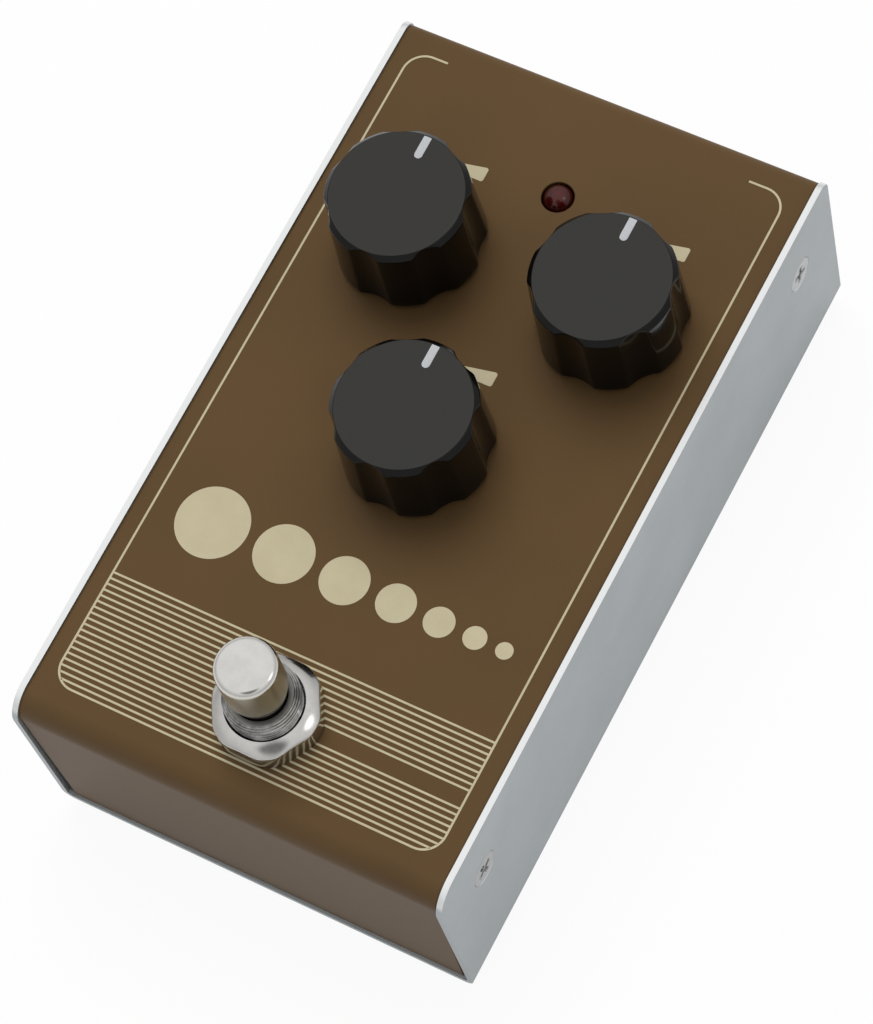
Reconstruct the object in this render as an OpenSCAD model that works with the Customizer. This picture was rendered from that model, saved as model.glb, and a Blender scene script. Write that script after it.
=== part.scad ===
// Analog delay pedal: a folded tray and a folded cover, three fluted knobs on rotary controls,
// a latching footswitch, a status lamp, and sockets in the rear wall.
// X runs across the pedal, Y from the footswitch end to the socket end, and Z up.
// The origin lies on the floor, under the middle of the outline. All sizes are millimetres.

/* [Tray] */
// Width over the two side plates
case_w = 74.4; // [72:0.2:86]
// Length of the side plates
plate_l = 130; // [128:1:150]
// Height of the side plates, from the underside of the tray
plate_h = 38.4; // [37:0.2:46]
// Sheet thickness of the tray
tray_t = 1; // [0.8:0.1:1.2]
// Inside radius of the folds along the foot of the side plates
tray_fold_r = 1; // [0.5:0.1:2]
// Corner radius at the top front of each side plate
plate_front_r = 5; // [3:0.5:7]
// Corner radius at the top rear of each side plate
plate_rear_r = 2.3; // [1.5:0.1:5]

/* [Cover] */
// Sheet thickness of the cover
cover_t = 1; // [0.8:0.1:1.3]
// Depth of the panel below the top edges of the side plates
cover_drop = 0.4; // [0.2:0.1:1]
// Depth of the front wall inside the front of the side plates
front_inset = 0.5; // [0.2:0.1:1.2]
// Depth of the rear wall inside the rear of the side plates
rear_inset = 0.2; // [0.1:0.1:1]
// Inside radius of the fold between the panel and the front wall
front_fold_r = 3; // [1.5:0.5:4]
// Inside radius of the fold between the panel and the rear wall
rear_fold_r = 1; // [0.6:0.2:3]
// Gap between the cover and the side plates
side_gap = 0.2; // [0.1:0.05:0.5]
// Gap between the foot of the end walls and the tray's side folds
foot_gap = 0.1; // [0.1:0.1:1]
// Gap between the foot of the end walls and the tray's floor
seam_gap = 0.15; // [0.1:0.05:0.5]

/* [Screw brackets] */
// Thickness of the screw brackets
bracket_t = 1; // [0.8:0.1:1.5]
// Length of the leg along the side plate
bracket_l = 15; // [14:0.5:18]
// Length of the leg that is welded to the end wall
bracket_leg = 6.5; // [4:0.5:7]
// Height of the screw brackets
bracket_h = 13; // [9:0.5:15]
// Bevel on the outer corner of the screw brackets
bracket_bevel = 0.8; // [0.4:0.1:1]
// Radius of the drawn collar behind each screw hole
collar_r = 2.6; // [2.2:0.1:3]
// Length of the drawn collar
collar_l = 1.6; // [1:0.1:2]

/* [Screws] */
// Distance of the case screws from the ends of the side plates
screw_set = 11.3; // [10:0.1:14]
// Depth of the case screws below the top edges of the side plates
screw_drop = 12.1; // [10:0.1:13]
// Radius of the countersunk head
screw_head_r = 3; // [2.6:0.1:3.4]
// Radius of the shank
screw_r = 1.45; // [1.2:0.05:1.5]
// Length of the screw over its head
screw_l = 6; // [5:0.5:7]
// How far the head stops short of the sheet's inner face
head_land = 0.1; // [0.05:0.05:0.2]
// Width of each arm of the cross recess
recess_w = 0.7; // [0.5:0.1:0.9]
// Length over two arms of the cross recess
recess_l = 3.2; // [2.6:0.1:3.6]
// Depth of the cross recess
recess_d = 0.6; // [0.4:0.1:0.6]
// Clearance round the head in its countersink
seat_clear = 0.05; // [0.02:0.01:0.1]
// Clearance round the shank
thread_clear = 0.1; // [0.05:0.05:0.2]

/* [Feet] */
// Radius of a rubber foot where it is stuck on
foot_r = 5; // [4:0.5:6]
// Radius of a rubber foot at the floor
foot_tip_r = 4.4; // [3:0.2:5]
// Height of the rubber feet
foot_h = 2.5; // [1.5:0.5:4]
// Distance of the feet from the side plates' outer faces
foot_side = 9; // [8:0.5:14]
// Distance of the feet from the ends of the side plates
foot_end = 12; // [8:0.5:18]

/* [Knobs] */
// Distance of the outer knobs from the side plates' outer faces
knob_side = 19.5; // [17.5:0.1:21]
// Distance of the rear pair of knobs from the rear of the side plates
rear_knobs_y = 34.9; // [33:0.1:38]
// Distance of the middle knob from the rear of the side plates
mid_knob_y = 65.8; // [62:0.1:70]
// Radius of a knob at its base
knob_r = 12.1; // [11.6:0.1:12.6]
// Radius of a knob below its bevelled rim
knob_rim_r = 11.5; // [11.2:0.1:11.9]
// Radius of the flat top face
knob_face_r = 10.7; // [9.5:0.1:11]
// Height of the knob
knob_h = 14.6; // [13.5:0.1:18]
// Height of the bevel round the top
knob_bevel_h = 0.8; // [0.4:0.1:1.5]
// Gap between a knob and the panel
knob_lift = 0.8; // [0.4:0.1:1.2]
// Number of flutes round a knob
flute_n = 7; // [5:1:10]
// Radius of the flute cutter
flute_r = 6; // [4:0.5:9]
// Depth of a flute at the base
flute_depth = 1; // [0.6:0.1:1.2]
// Radius of the hollow under a knob
knob_hollow_r = 9.2; // [8.5:0.1:9.6]
// Thickness of the knob's top
knob_top_t = 2.2; // [1.5:0.1:3]
// Radius of the hub on the shaft
hub_r = 5; // [4.5:0.1:6]
// Thickness of the ribs between hub and skirt
rib_t = 1.2; // [0.8:0.1:2]
// Number of ribs
rib_n = 4; // [3:1:6]
// Gap between the hub and the end of the control's bushing
hub_gap = 0.5; // [0.3:0.1:1]
// Width of the pointer
pointer_w = 1.35; // [1:0.05:2]
// Distance of the pointer's round end from the knob's axis
pointer_in = 6.6; // [5:0.1:8]
// Depth of the pointer in the top face
pointer_d = 0.5; // [0.3:0.1:1]
// Clearance at the sides of the pointer
pointer_clear = 0.02; // [0.01:0.01:0.05]

/* [Rotary controls] */
// Radius of the control's can
pot_r = 8.3; // [7.5:0.1:8.8]
// Depth of the can below the panel
pot_depth = 8; // [7:0.1:9]
// Radius of the threaded bushing
pot_bush_r = 3.5; // [3.4:0.1:4]
// Length of the bushing from the can's face
pot_bush_l = 7; // [6:0.1:7.5]
// Clearance round the bushing in the panel
pot_hole_clear = 0.15; // [0.05:0.05:0.3]
// Radius of the shaft
shaft_r = 3; // [2.5:0.05:3.1]
// Distance of the shaft's flat from its axis
shaft_flat = 1.5; // [1:0.1:2]
// Running clearance of the shaft in its bushing
shaft_clear = 0.05; // [0.02:0.01:0.08]
// Clearance of the knob on the shaft
knob_clear = 0.04; // [0.02:0.01:0.08]
// Depth of the shaft inside the can
shaft_sink = 4; // [3:0.1:5]
// End play below and above the shaft
shaft_play = 0.3; // [0.2:0.1:0.5]
// Width of the nut across its flats
pot_nut_af = 10; // [9.5:0.1:11]
// Thickness of the nut
pot_nut_t = 2; // [1.5:0.1:2.4]
// Radius of the washer
pot_washer_r = 6; // [5.5:0.1:7]
// Thickness of the washer
pot_washer_t = 0.5; // [0.3:0.1:0.8]
// Clearance of nuts and washers round a thread
nut_clear = 0.05; // [0.02:0.01:0.1]
// Width of the wafer that carries the pins
wafer_w = 13; // [12:0.5:15]
// Reach of the wafer past the can
wafer_reach = 4.5; // [4:0.5:6]
// Thickness of the wafer
wafer_t = 1.5; // [1:0.1:2]
// Depth of the wafer below the can's face
wafer_sink = 1.5; // [1:0.1:2.5]
// Spacing of the three pins
pin_pitch = 5; // [4:0.5:5.5]
// Distance of the pins from the can
pin_set = 3; // [2:0.1:3.5]
// Radius of a solder pin
pin_r = 0.5; // [0.4:0.05:0.6]
// Length of a solder pin past the board
pin_tail = 1; // [0.5:0.1:1.5]
// Clearance of pins, lugs and leads in a board
pin_clear = 0.1; // [0.05:0.05:0.2]
// Width of the locating tab on the can
tab_w = 2.5; // [2:0.1:3]
// Thickness of the locating tab
tab_t = 1; // [0.8:0.1:1.2]
// Distance of the locating tab from the axis
tab_set = 7; // [6.5:0.1:7.2]

/* [Lamp] */
// Distance of the lamp from the rear of the side plates
lamp_y = 19.2; // [18.2:0.1:20.5]
// Radius of the lamp's lens
lamp_r = 2.5; // [2.2:0.1:2.8]
// Length of the lamp
lamp_l = 8.6; // [7.5:0.1:8.8]
// Radius of the rim at the lamp's base
lamp_rim_r = 2.9; // [2.85:0.05:3.2]
// Thickness of the rim
lamp_rim_t = 1; // [0.8:0.1:1.5]
// Height of the lamp's dome above the panel's surface
lamp_up = 1.3; // [0.8:0.1:1.4]
// Clearance round the lens in the panel
lamp_clear = 0.15; // [0.1:0.05:0.4]
// Spacing of the lamp's leads
lead_pitch = 2.54; // [2:0.01:3]
// Radius of a lead
lead_r = 0.25; // [0.2:0.05:0.35]

/* [Footswitch] */
// Distance of the footswitch from the front of the side plates
switch_y = 16.4; // [16:0.1:20]
// Radius of the plunger's cap
cap_r = 4.95; // [4.6:0.05:5.4]
// Height of the cap's top above the panel
cap_up = 20.2; // [17:0.1:22]
// Radius of the cap's rounded top edge
cap_edge_r = 0.85; // [0.4:0.05:1.2]
// Radius of the cap's lower edge
cap_foot_r = 4.4; // [4.2:0.05:4.6]
// Height of the taper at the cap's lower end
cap_taper_h = 2.2; // [1:0.1:4]
// Radius of the plunger's neck in the bushing
neck_r = 4; // [3.8:0.05:4.2]
// Thickness of the cap above its spring hole
cap_t = 4; // [3:0.5:6]
// Travel of the plunger
plunger_travel = 1.2; // [0.8:0.1:2]
// Gap under the cap when it is pressed
press_gap = 0.3; // [0.3:0.1:0.6]
// Running clearance of the neck in its bushing
neck_clear = 0.05; // [0.02:0.01:0.08]
// Width of the stop collar past the neck
stop_w = 1; // [0.6:0.1:1.2]
// Thickness of the stop collar
stop_t = 1.2; // [0.8:0.1:1.5]
// Room above and below the stop collar
stop_gap = 0.4; // [0.3:0.1:0.6]
// Radius of the footswitch's thread
bush_r = 6; // [5.8:0.1:6.3]
// Height of the bushing above the panel
bush_up = 8.4; // [6.5:0.1:10]
// Chamfer on the top of the bushing
bush_chamfer = 0.9; // [0.3:0.1:1]
// Clearance round the bushing in the panel
bush_clear = 0.15; // [0.05:0.05:0.3]
// Radius of the bushing's foot
bush_foot_r = 7; // [6.8:0.1:7.4]
// Thickness of the bushing's foot
bush_foot_t = 1; // [0.8:0.1:1.4]
// Width of the top nut across its flats
switch_nut_af = 16.4; // [15.6:0.1:17]
// Radius that the top nut's corners are turned to
switch_nut_r = 8.65; // [8.6:0.05:9]
// Height of the top nut
switch_nut_h = 5; // [3:0.1:5.5]
// Height of the cone on top of that nut
switch_nut_cone_h = 1.4; // [0.8:0.1:2]
// Radius of the top nut's flat face
switch_nut_face_r = 6.5; // [6.4:0.1:7.4]
// Width of the back nut across its flats
back_nut_af = 14; // [13.5:0.1:15]
// Thickness of the back nut
back_nut_t = 2; // [1.5:0.1:2.5]
// Radius of the lock washer
lock_washer_r = 8.6; // [8:0.1:9]
// Thickness of the lock washer
lock_washer_t = 0.6; // [0.4:0.1:0.8]
// Number of teeth inside the lock washer
lock_teeth = 10; // [8:1:12]
// Depth of the gaps between the lock washer's teeth
lock_gap_d = 1.2; // [0.8:0.1:1.4]
// Width of the gaps between the lock washer's teeth
lock_gap_w = 1; // [0.8:0.1:1.4]
// Width of the square housing
housing_w = 17; // [16.4:0.1:18]
// Height of the housing
housing_h = 13; // [11:0.1:14]
// Thickness of the steel frame round the housing
frame_t = 0.8; // [0.6:0.1:1]
// Width of the frame's side straps
strap_w = 10; // [8:0.5:13]
// Length of the frame's side straps
strap_l = 9; // [6:0.5:10]
// Gap between the straps and the housing
strap_gap = 0.05; // [0.02:0.01:0.1]
// Radial clearance in the housing
housing_clear = 0.3; // [0.1:0.1:0.5]
// Width of a solder lug
lug_w = 2.3; // [1.8:0.1:2.6]
// Thickness of a solder lug
lug_t = 0.8; // [0.6:0.1:1]
// Length of a solder lug
lug_l = 5; // [4.4:0.1:6]
// Spacing of the lugs across the housing
lug_pitch_x = 5.3; // [4.5:0.1:6]
// Spacing of the lugs along the housing
lug_pitch_y = 4.8; // [4:0.1:5.5]
// Mean radius of the return spring
spring_r = 2.6; // [2.3:0.05:2.65]
// Radius of the spring wire
spring_wire_r = 0.35; // [0.25:0.05:0.4]
// Number of turns in the spring
spring_turns = 9; // [7:1:11]
// Clearance round the spring and at its ends
spring_clear = 0.25; // [0.2:0.05:0.3]

/* [Boards] */
// Thickness of the circuit boards
board_t = 1.6; // [1:0.1:1.6]
// Gap between the controls' cans and the main board
board_gap = 0.8; // [0.5:0.1:1]
// Gap between the main board and the screw brackets
board_side = 1.2; // [1:0.1:3]
// Gap between the main board and the rear wall
board_rear = 3; // [2:0.1:4]
// Gap between the main board and the footswitch's housing
board_front = 3.5; // [3.2:0.1:5]
// Room round the case screws at the board's rear corners
notch_room = 1.2; // [1:0.1:2]
// Gap between the footswitch's housing and its board
switch_board_gap = 1.5; // [1.2:0.1:1.8]
// Margin of the footswitch board round the housing
switch_board_rim = 2.5; // [2:0.1:3]
// Width of the ribbon
ribbon_w = 16; // [10:1:20]
// Thickness of the ribbon
ribbon_t = 0.5; // [0.4:0.1:0.6]
// Inside radius of the ribbon's bend
ribbon_r = 2; // [1.5:0.1:2.2]
// Gap between the ribbon's end and the housing
ribbon_gap = 0.7; // [0.5:0.1:0.9]
// Length of a chip
chip_l = 19.3; // [16:0.1:20]
// Width of a chip
chip_w = 6.4; // [6:0.1:7]
// Height of a chip
chip_h = 3.4; // [3:0.1:4]
// Gap between a chip and the board
chip_gap = 0.5; // [0.3:0.1:0.8]
// Number of pins along one side of a chip
chip_pins = 8; // [7:1:8]
// Spacing of a chip's pins
chip_pitch = 2.2; // [1.8:0.1:2.2]
// Width of a chip's pin
chip_pin_w = 0.5; // [0.4:0.05:0.6]
// Thickness of a chip's pin
chip_pin_t = 0.25; // [0.2:0.05:0.3]
// Radius of the notch in a chip's end
chip_notch_r = 0.8; // [0.6:0.1:1]
// Distance of the rear chip in front of the rear knobs
chip_set = 2; // [1:0.1:4]
// Distance between the two chips
chip_step = 11; // [10:0.1:13]
// Radius of a capacitor
can_r = 2.5; // [2:0.1:3]
// Height of a capacitor
can_h = 8; // [6:0.1:9]
// Height of the groove round a capacitor, from the board
can_groove_z = 1.4; // [1.2:0.1:2]
// Radius of the groove round a capacitor
can_groove_r = 0.3; // [0.2:0.05:0.4]
// Spacing of the capacitors
can_pitch = 13; // [9:0.5:15]
// Number of capacitors in their row
can_n = 4; // [2:1:4]
// Distance of the capacitors in front of the rear knobs
can_set = 24; // [22:0.1:26]

/* [Sockets] */
// Distance of the jacks from the side plates' outer faces
jack_side = 17.2; // [16.5:0.1:18]
// Width of a jack's body
jack_w = 15.5; // [14:0.1:16]
// Height of a jack's body
jack_h = 13.5; // [13:0.1:14.5]
// Depth of a jack's body
jack_d = 28; // [26:0.5:30]
// Radius of the hole that takes the plug
plug_r = 3.25; // [3.2:0.01:3.3]
// Radius of the threaded sleeve
sleeve_r = 4.75; // [4.5:0.05:5]
// Length of the sleeve inside the body
sleeve_in = 8; // [6:0.1:10]
// Length of the sleeve past its nut
sleeve_tip = 0.2; // [0.1:0.1:1]
// Clearance round the sleeve in the wall
sleeve_clear = 0.15; // [0.05:0.05:0.3]
// Extra radius of the body's cavity behind the sleeve
cavity_clear = 0.35; // [0.2:0.05:0.5]
// Thickness of the body's front wall
cavity_end = 1.5; // [1:0.1:2.5]
// Width of a jack's nut across its flats
jack_nut_af = 12.5; // [12:0.1:14]
// Thickness of a jack's nut
jack_nut_t = 1.8; // [1.5:0.1:2.5]
// Radius of a jack's washer
jack_washer_r = 7; // [6.6:0.1:7.4]
// Thickness of a jack's washer
jack_washer_t = 0.5; // [0.3:0.1:0.8]
// Width of the tip contact
contact_w = 3; // [2:0.1:3.5]
// Thickness of the tip contact
contact_t = 0.4; // [0.3:0.05:0.6]
// Distance of the tip contact from the body's front face
contact_set = 6; // [5:0.1:8]
// Length of the tip contact's finger
contact_l = 5; // [4:0.1:7]
// Height of the finger above the plug's axis
contact_z = 2; // [1.6:0.1:2.4]
// Clearance round the contact in its slot
contact_clear = 0.2; // [0.1:0.05:0.3]
// Width of the power jack's body
power_w = 9; // [8.8:0.1:10]
// Depth of the power jack's body
power_d = 13; // [11:0.1:13]
// Radius of the power jack's round mouth
power_mouth_r = 4.4; // [4:0.1:4.4]
// Height of the mouth past the wall
power_mouth_up = 0.3; // [0.1:0.1:0.6]
// Clearance round the mouth in the wall
power_clear = 0.2; // [0.1:0.05:0.3]
// Radius of the hole that takes the power plug
power_bore_r = 2.85; // [2.8:0.05:3]
// Depth of that hole
power_bore_d = 9.5; // [9:0.1:10]
// Radius of the centre pin
power_pin_r = 1; // [0.9:0.05:1.1]
// Depth of the centre pin's end below the mouth
power_pin_sink = 0.7; // [0.4:0.1:1]

/* [Hidden] */
$fn = 96;

// Overshoot of a cutter past the face that it cuts
cut = 0.1;

// Finishes
brown_paint = [0.38, 0.30, 0.20];
satin_steel = [0.72, 0.73, 0.72];
nickel = [0.80, 0.79, 0.76];
black_gloss = [0.08, 0.08, 0.07];
black_rubber = [0.10, 0.10, 0.10];
white_inlay = [0.92, 0.92, 0.90];
red_lens = [0.45, 0.06, 0.05];
green_board = [0.10, 0.35, 0.20];
dark_plastic = [0.13, 0.13, 0.14];
blue_plastic = [0.12, 0.25, 0.50];
tinned = [0.75, 0.75, 0.74];
grey_ribbon = [0.60, 0.60, 0.62];

// Ends of the side plates, with the sockets' nuts reaching past the rear one
rear_reach = jack_washer_t + jack_nut_t + sleeve_tip - rear_inset;
front_y = -(plate_l + rear_reach) / 2;
rear_y = front_y + plate_l;

// Heights, from the floor up
tray_z = foot_h;
floor_z = tray_z + tray_t;
plate_z = tray_z + plate_h;
panel_z = plate_z - cover_drop;
under_z = panel_z - cover_t;
screw_z = plate_z - screw_drop;
bracket_z = screw_z - bracket_h / 2;

// Cover outline
cover_x = case_w / 2 - tray_t - side_gap;
front_wall_y = front_y + front_inset;
rear_wall_y = rear_y - rear_inset;
tray_outer_r = tray_fold_r + tray_t;
wall_foot_x = case_w / 2 - tray_outer_r - foot_gap;
wall_foot_z = floor_z + seam_gap;
taper_z = panel_z - max(front_fold_r, rear_fold_r) - cover_t;
bracket_inner_x = cover_x - bracket_t;

// Screws
screw_front_y = front_y + screw_set;
screw_rear_y = rear_y - screw_set;
screw_head_h = tray_t - head_land;

// Controls and lamp on the panel
knob_x = case_w / 2 - knob_side;
rear_row_y = rear_y - rear_knobs_y;
time_at = [-knob_x, rear_row_y];
mix_at = [knob_x, rear_row_y];
repeats_at = [0, rear_y - mid_knob_y];
controls = [time_at, mix_at, repeats_at];
lamp_at = [0, rear_y - lamp_y];
knob_z = panel_z + knob_lift;
knob_top_z = knob_z + knob_h;
hub_z = under_z + pot_bush_l + hub_gap;
hub_roof_z = knob_top_z - knob_top_t;
shaft_top_z = hub_roof_z - shaft_play;
pot_z = under_z - pot_depth;
wafer_z = under_z - wafer_sink - wafer_t;
lamp_top_z = panel_z + lamp_up;
lamp_z = lamp_top_z - lamp_l;

// Boards
board_top_z = pot_z - board_gap;
board_z = board_top_z - board_t;

// Footswitch, from the top down
switch_at = [0, front_y + switch_y];
cap_top_z = panel_z + cap_up;
bush_top_z = panel_z + bush_up;
cap_z = bush_top_z + plunger_travel + press_gap;
back_nut_z = under_z - lock_washer_t - back_nut_t;
housing_top_z = back_nut_z - frame_t;
bush_foot_z = housing_top_z - bush_foot_t;
stop_top_z = bush_foot_z - stop_gap;
stop_z = stop_top_z - stop_t;
well_z = stop_z - plunger_travel - stop_gap;
housing_z = housing_top_z - housing_h;
switch_board_top_z = housing_z - switch_board_gap;
switch_board_z = switch_board_top_z - board_t;
bush_bore_r = neck_r + neck_clear;
stop_r = neck_r + stop_w;
spring_hole_r = spring_r + spring_wire_r + spring_clear;
spring_roof_z = cap_top_z - cap_t;

// Return spring, as a helix of short steps
spring_steps = 12;
spring_sides = 6;
spring_low_z = well_z + spring_wire_r + spring_clear;
spring_high_z = spring_roof_z - spring_wire_r - spring_clear;
spring_rings = spring_turns * spring_steps;

// Main board outline and the ribbon that hangs from its front edge
board_x = bracket_inner_x - board_side;
board_front_y = switch_at.y + housing_w / 2 + board_front;
board_rear_y = rear_wall_y - cover_t - board_rear;
notch_x = case_w / 2 - screw_l - notch_room;
notch_y = screw_rear_y - collar_r - notch_room;
ribbon_end_y = switch_at.y + housing_w / 2 + ribbon_gap;
ribbon_bend_y = board_front_y + ribbon_t;
ribbon_back_y = ribbon_bend_y + ribbon_r;

// Sockets in the rear wall
jack_x = case_w / 2 - jack_side;
wall_in_y = rear_wall_y - cover_t;
jack_z = board_z - jack_h / 2;
jack_front_y = wall_in_y - jack_d;
sleeve_end_y = rear_wall_y + jack_washer_t + jack_nut_t + sleeve_tip;
sleeve_l = sleeve_end_y - wall_in_y + sleeve_in;
cavity_r = plug_r + cavity_clear;
contact_y = jack_front_y + contact_set;
power_front_y = wall_in_y - power_d;
power_end_y = rear_wall_y + power_mouth_up;
power_floor_y = power_end_y - power_bore_d;

spring_gap = (spring_high_z - spring_low_z) / spring_turns - 2 * spring_wire_r;
echo("least gap between the spring's turns", spring_gap);

// Quarter of a tube about Z, for a fold in sheet
module quarter_tube(inner_r, wall, length) {
    rotate_extrude(angle = 90)
        translate([inner_r, 0])
            square([wall, length]);
}

// Spare corner outside a radius, along X, for rounding the corner of a plate at its +Y and +Z end
module corner_waste(r, width) {
    difference() {
        translate([-cut, -r, -r])
            cube([width + 2 * cut, r + cut, r + cut]);
        translate([-2 * cut, -r, -r])
            rotate([0, 90, 0])
                cylinder(r = r, h = width + 4 * cut);
    }
}

// Hexagonal nut with its flats toward +Y and -Y
module hex_nut(across_flats, thickness, hole_r) {
    difference() {
        cylinder(d = across_flats / cos(30), h = thickness, $fn = 6);
        translate([0, 0, -cut])
            cylinder(r = hole_r, h = thickness + 2 * cut);
    }
}

// Flat ring
module washer(outer_r, inner_r, thickness) {
    difference() {
        cylinder(r = outer_r, h = thickness);
        translate([0, 0, -cut])
            cylinder(r = inner_r, h = thickness + 2 * cut);
    }
}

// Places its children at each case screw, with Z pointing into the case
module at_screws() {
    for (y = [screw_front_y, screw_rear_y]) {
        translate([case_w / 2, y, screw_z])
            rotate([0, -90, 0])
                children();
        translate([-case_w / 2, y, screw_z])
            rotate([0, 90, 0])
                children();
    }
}

// Side plate on the +X side, with the top corners rounded
module side_plate() {
    foot_z = tray_z + tray_outer_r;
    difference() {
        translate([case_w / 2 - tray_t, front_y, foot_z])
            cube([tray_t, plate_l, plate_z - foot_z]);
        translate([case_w / 2 - tray_t, rear_y, plate_z])
            corner_waste(plate_rear_r, tray_t);
        translate([case_w / 2 - tray_t, front_y, plate_z])
            mirror([0, 1, 0])
                corner_waste(plate_front_r, tray_t);
    }
}

// Folded tray: floor and both side plates, with countersunk screw holes
module base_tray() {
    color(satin_steel)
        difference() {
            union() {
                translate([tray_outer_r - case_w / 2, front_y, tray_z])
                    cube([case_w - 2 * tray_outer_r, plate_l, tray_t]);
                for (side = [0, 1])
                    mirror([side, 0, 0]) {
                        side_plate();
                        translate([case_w / 2 - tray_outer_r, front_y, tray_z + tray_outer_r])
                            rotate([-90, 0, 0])
                                quarter_tube(tray_fold_r, tray_t, plate_l);
                    }
            }
            at_screws()
                translate([0, 0, -cut])
                    cylinder(
                        r1 = screw_head_r + seat_clear + cut,
                        r2 = screw_head_r + seat_clear - tray_t - cut,
                        h = tray_t + 2 * cut
                    );
        }
}

// Block with both corners at its head rounded, for the outside of the cover or the space inside it
module folded_block(inset, half_x, low_z) {
    front = front_wall_y + inset;
    rear = rear_wall_y - inset;
    head_z = panel_z - inset;
    difference() {
        translate([-half_x, front, low_z])
            cube([2 * half_x, rear - front, head_z - low_z]);
        translate([-half_x, rear, head_z])
            corner_waste(rear_fold_r + cover_t - inset, 2 * half_x);
        translate([-half_x, front, head_z])
            mirror([0, 1, 0])
                corner_waste(front_fold_r + cover_t - inset, 2 * half_x);
    }
}

// Waste at the +X side of the end walls, which narrow toward their foot
module wall_taper() {
    translate([0, rear_y, 0])
        rotate([90, 0, 0])
            linear_extrude(plate_l)
                polygon([
                    [cover_x, taper_z],
                    [wall_foot_x, wall_foot_z],
                    [wall_foot_x, wall_foot_z - cut],
                    [cover_x + cut, wall_foot_z - cut],
                    [cover_x + cut, taper_z]
                ]);
}

// Folded cover: panel and end walls, with all its holes
module top_cover() {
    color(brown_paint)
        difference() {
            folded_block(0, cover_x, wall_foot_z);
            folded_block(cover_t, cover_x + cut, wall_foot_z - cut);
            for (side = [0, 1])
                mirror([side, 0, 0])
                    wall_taper();
            panel_holes();
            wall_holes();
        }
}

// Screw bracket in the +X and +Y corner: an angle on the inside of the end wall, with a drawn collar
module screw_bracket(wall_y, screw_y) {
    weld_y = wall_y - cover_t;
    translate([0, 0, bracket_z])
        linear_extrude(bracket_h)
            polygon([
                [cover_x - bracket_bevel, weld_y],
                [cover_x - bracket_leg, weld_y],
                [cover_x - bracket_leg, weld_y - bracket_t],
                [bracket_inner_x, weld_y - bracket_t],
                [bracket_inner_x, weld_y - bracket_l],
                [cover_x, weld_y - bracket_l],
                [cover_x, weld_y - bracket_bevel]
            ]);
    translate([bracket_inner_x - collar_l, screw_y, screw_z])
        rotate([0, 90, 0])
            cylinder(r = collar_r, h = collar_l + bracket_t / 2);
}

// Four brackets that are welded inside the cover and that the case screws bite in
module screw_brackets() {
    color(brown_paint)
        difference() {
            for (side = [0, 1])
                mirror([side, 0, 0]) {
                    screw_bracket(rear_wall_y, screw_rear_y);
                    mirror([0, 1, 0])
                        screw_bracket(-front_wall_y, -screw_front_y);
                }
            at_screws()
                cylinder(r = screw_r + thread_clear, h = screw_l + cut);
        }
}

// Holes through the panel for the controls, the lamp and the footswitch
module panel_holes() {
    for (at = controls)
        translate([at.x, at.y, under_z - cut]) {
            cylinder(r = pot_bush_r + pot_hole_clear, h = cover_t + 2 * cut);
            translate([tab_set - pot_hole_clear, -tab_w / 2 - pot_hole_clear, 0])
                cube([tab_t + 2 * pot_hole_clear, tab_w + 2 * pot_hole_clear, cover_t + 2 * cut]);
        }
    translate([lamp_at.x, lamp_at.y, under_z - cut])
        cylinder(r = lamp_r + lamp_clear, h = cover_t + 2 * cut);
    translate([switch_at.x, switch_at.y, under_z - cut])
        cylinder(r = bush_r + bush_clear, h = cover_t + 2 * cut);
}

// Holes through the rear wall for the jacks and the power jack's mouth
module wall_holes() {
    for (x = [-jack_x, jack_x])
        wall_hole(x, sleeve_r + sleeve_clear);
    wall_hole(0, power_mouth_r + power_clear);
}

module wall_hole(x, r) {
    translate([x, wall_in_y - cut, jack_z])
        rotate([-90, 0, 0])
            cylinder(r = r, h = cover_t + 2 * cut);
}

// Countersunk cross-head screws through the side plates into the brackets
module case_screws() {
    color(nickel)
        at_screws()
            difference() {
                union() {
                    cylinder(r1 = screw_head_r, r2 = screw_head_r - screw_head_h, h = screw_head_h);
                    cylinder(r = screw_r, h = screw_l);
                }
                for (turn = [0, 90])
                    rotate(turn)
                        translate([-recess_l / 2, -recess_w / 2, -cut])
                            cube([recess_l, recess_w, recess_d + cut]);
            }
}

// Four stuck-on rubber feet
module rubber_feet() {
    foot_x = case_w / 2 - foot_side;
    color(black_rubber)
        for (x = [-foot_x, foot_x], y = [front_y + foot_end, rear_y - foot_end])
            translate([x, y, 0])
                cylinder(r1 = foot_tip_r, r2 = foot_r, h = foot_h);
}

// Groove for the pointer, seen from above with the pointer along +Y
module pointer_slot(width, reach) {
    end_y = pointer_in + width / 2;
    translate([0, end_y, 0])
        cylinder(d = width, h = pointer_d + cut);
    translate([-width / 2, end_y, 0])
        cube([width, reach - end_y, pointer_d + cut]);
}

// Hole with a flat on one side, for the shaft
module d_section(r, flat, height) {
    intersection() {
        cylinder(r = r, h = height);
        translate([-r - cut, -r - cut, -cut])
            cube([2 * (r + cut), r + cut + flat, height + 2 * cut]);
    }
}

// Outside of a knob: a tapered skirt and a bevelled rim, cut by the flutes
module knob_outside() {
    skirt_h = knob_h - knob_bevel_h;
    difference() {
        union() {
            cylinder(r1 = knob_r, r2 = knob_rim_r, h = skirt_h);
            translate([0, 0, skirt_h])
                cylinder(r1 = knob_rim_r, r2 = knob_face_r, h = knob_bevel_h);
        }
        for (i = [0 : flute_n - 1])
            rotate(90 + (i + 0.5) * 360 / flute_n)
                translate([knob_r + flute_r - flute_depth, 0, -cut])
                    cylinder(r = flute_r, h = knob_h + 2 * cut);
    }
}

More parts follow.
